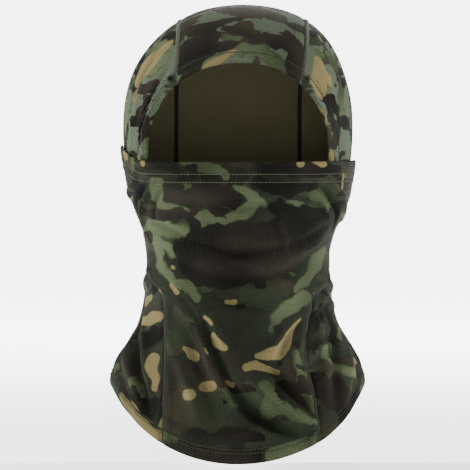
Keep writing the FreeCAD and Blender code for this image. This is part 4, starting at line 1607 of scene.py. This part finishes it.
def declare(made):
    """The body that each piece rides, and the CAD nodes that it stands for."""
    hood = {"crown_cloth": ["crown_panel"], "side_cloth_left": ["side_panel_left"],
            "side_cloth_right": ["side_panel_right"], "opening_band_cloth": ["opening_band"],
            "opening_elastic_strip": ["opening_elastic"], "opening_band_stitches": ["opening_band_stitching"],
            "bottom_hem_stitches": ["bottom_hem_stitching"]}
    for which in TURNS:
        hood["bottom_hem_cloth_" + which] = ["bottom_hem_" + which]
    for word, _ in SIDES:
        hood["crown_flatlock_" + word] = ["crown_seam_" + word]
        hood["bib_flatlock_" + word] = ["bib_seam_" + word]
        hood["corner_tack_" + word] = ["cover_corner_tack_" + word]
    cover = {"cover_hem_cloth": ["cover_hem"], "cover_elastic_strip": ["cover_hem_elastic"],
             "cover_hem_stitches": ["cover_hem_stitching"]}
    for body, pieces in (("hood", hood), ("cover_hem", cover)):
        for name, nodes in pieces.items():
            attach(made[name], body)
            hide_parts(*nodes)
    crossing = {"front_cloth": ["front_bib", "face_cover"], "cover_edge_stitches_left": ["cover_seam_left"],
                "cover_edge_stitches_right": ["cover_seam_right"]}
    for name, nodes in crossing.items():
        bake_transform(made[name])
        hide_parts(*nodes)


SLOTS = {"cloth": "camo_knit", "flatlock": "flatlock_thread", "elastic": "elastic", "stitches": "hem_thread",
         "tack": "hem_thread"}


def declare_slots(made):
    """Looks for each word of SLOTS in each piece's name; nothing is kept."""
    for name, piece in made.items():
        for word, slot in SLOTS.items():
            word in name


def declare_sheets():
    """Works out each panel's flat cut from the shape with no folds, and keeps nothing; the hems listed with
    each panel are not used.
    """
    cut = {"crown_cloth": (crown_point, ["bottom_hem_cloth_back"]),
           "side_cloth_left": (side_point, ["bottom_hem_cloth_left"]),
           "side_cloth_right": (side_point, ["bottom_hem_cloth_right"]),
           "front_cloth": (front_point, ["bottom_hem_cloth_front"])}
    for name, (point_at, hems) in cut.items():
        flat, area = flat_size(point_at(*fitted_grid(point_at)))


# Studio


FLOOR_GLOW = (0.8, 5.8)  # strength of the floor's own light near the object, and far away
FLOOR_GLOW_FROM = (0.4, 3.0)  # distances in metres between which it grows


def pale_floor():
    """A matt backdrop that glows more far away than near the object."""
    material, t = new_material("pale_floor", 0.9)
    t.shade("Base Color", (0.9, 0.9, 0.9, 1.0))
    t.shade("Emission Color", (1.0, 1.0, 1.0, 1.0))
    place = t.nodes.new("ShaderNodeTexCoord")
    far = t.nodes.new("ShaderNodeVectorMath")
    far.operation = "LENGTH"
    t.put(place.outputs["Object"], far.inputs[0])
    near_glow, far_glow = FLOOR_GLOW
    share = t.ramp(far.outputs["Value"], *FLOOR_GLOW_FROM)
    glow = t.math("MULTIPLY_ADD", share, far_glow - near_glow, near_glow)
    t.shade("Emission Strength", glow)
    t.shade("Specular IOR Level", 0.1)
    return material


FLOOR_GAP = 0.012
FLOOR_RINGS = (0.6, 2.0, 8.0, 30.0)
FLOOR_SPOKES = 48


def make_floor():
    """A wide pale floor just below the hem, in rings round its middle."""
    low = float(CAD_BOX[0][2]) - FLOOR_GAP
    turns = [2 * math.pi * k / FLOOR_SPOKES for k in range(FLOOR_SPOKES)]
    verts = [(0.0, 0.0, low)]
    for reach in FLOOR_RINGS:
        verts += [(reach * math.cos(turn), reach * math.sin(turn), low) for turn in turns]
    steps = [(k, (k + 1) % FLOOR_SPOKES) for k in range(FLOOR_SPOKES)]
    faces = [(0, 1 + k, 1 + after) for k, after in steps]
    for ring in range(len(FLOOR_RINGS) - 1):
        inner = 1 + ring * FLOOR_SPOKES
        outer = inner + FLOOR_SPOKES
        faces += [(inner + k, outer + k, outer + after, inner + after) for k, after in steps]
    mesh = bpy.data.meshes.new("floor")
    mesh.from_pydata(verts, [], faces)
    mesh.materials.append(pale_floor())
    floor = bpy.data.objects.new("floor", mesh)
    bpy.context.scene.collection.objects.link(floor)


# Square lights: place in metres, side, power in watts
LIGHTS = {
    "front": ((0.2, -3.4, 0.25), 0.7, 15.5),
    "left": ((-2.85, -0.25, 1.3), 0.5, 330.0),
    "right": ((2.85, -0.2, 1.1), 0.5, 225.0),
    "top": ((0.3, -1.9, 2.4), 0.5, 20.0),
    "behind": ((0.3, 2.6, 1.4), 1.4, 75.0),
}
LIGHT_AIM = (0.0, 0.0, -0.05)
AIR = 0.12  # strength of the world's light on the object
BACKDROP = 6.0  # and its strength as the camera sees it


def make_light(name, place, size, power):
    light = bpy.data.lights.new(name, "AREA")
    light.shape = "SQUARE"
    light.size = size
    light.energy = power
    lamp = bpy.data.objects.new(name, light)
    lamp.location = place
    lamp.rotation_mode = "QUATERNION"
    lamp.rotation_quaternion = (Vector(LIGHT_AIM) - Vector(place)).to_track_quat("-Z", "Y")
    bpy.context.scene.collection.objects.link(lamp)


def make_studio():
    """A white world, softer on the object than it looks, and the lights."""
    world = bpy.data.worlds.new("studio")
    world.use_nodes = True
    tree = world.node_tree
    background = tree.nodes["Background"]
    background.inputs["Color"].default_value = (1.0, 1.0, 1.0, 1.0)
    ray = tree.nodes.new("ShaderNodeLightPath")
    strength = tree.nodes.new("ShaderNodeMapRange")
    strength.inputs["To Min"].default_value = AIR
    strength.inputs["To Max"].default_value = BACKDROP
    tree.links.new(ray.outputs["Is Camera Ray"], strength.inputs["Value"])
    tree.links.new(strength.outputs["Result"], background.inputs["Strength"])
    bpy.context.scene.world = world
    for name, (place, size, power) in LIGHTS.items():
        make_light(name, place, size, power)


CAMERA_AIM = (-2.3, 0.0, AIM_Z)
CAMERA_RISE = 1.5  # degrees above level
CAMERA_AWAY = 5.0
CAMERA_LENS = 497.4
CAMERA_SENSOR = 36.0


def make_camera():
    rise = math.radians(CAMERA_RISE)
    back = Vector((0.0, -math.cos(rise), math.sin(rise)))
    data = bpy.data.cameras.new("camera")
    data.sensor_width = CAMERA_SENSOR
    data.lens = CAMERA_LENS
    data.clip_end = 60.0
    camera = bpy.data.objects.new("camera", data)
    camera.location = Vector(CAMERA_AIM) * METRES + back * CAMERA_AWAY
    camera.rotation_mode = "QUATERNION"
    camera.rotation_quaternion = (-back).to_track_quat("-Z", "Y")
    bpy.context.scene.collection.objects.link(camera)
    bpy.context.scene.camera = camera


pieces = [*make_panels(), *make_hems(), *make_hem_stitches(), *make_seams(), *make_cover_edges()]
made = {piece.name: piece for piece in pieces}
declare(made)
declare_slots(made)
declare_sheets()
make_floor()
make_studio()
make_camera()
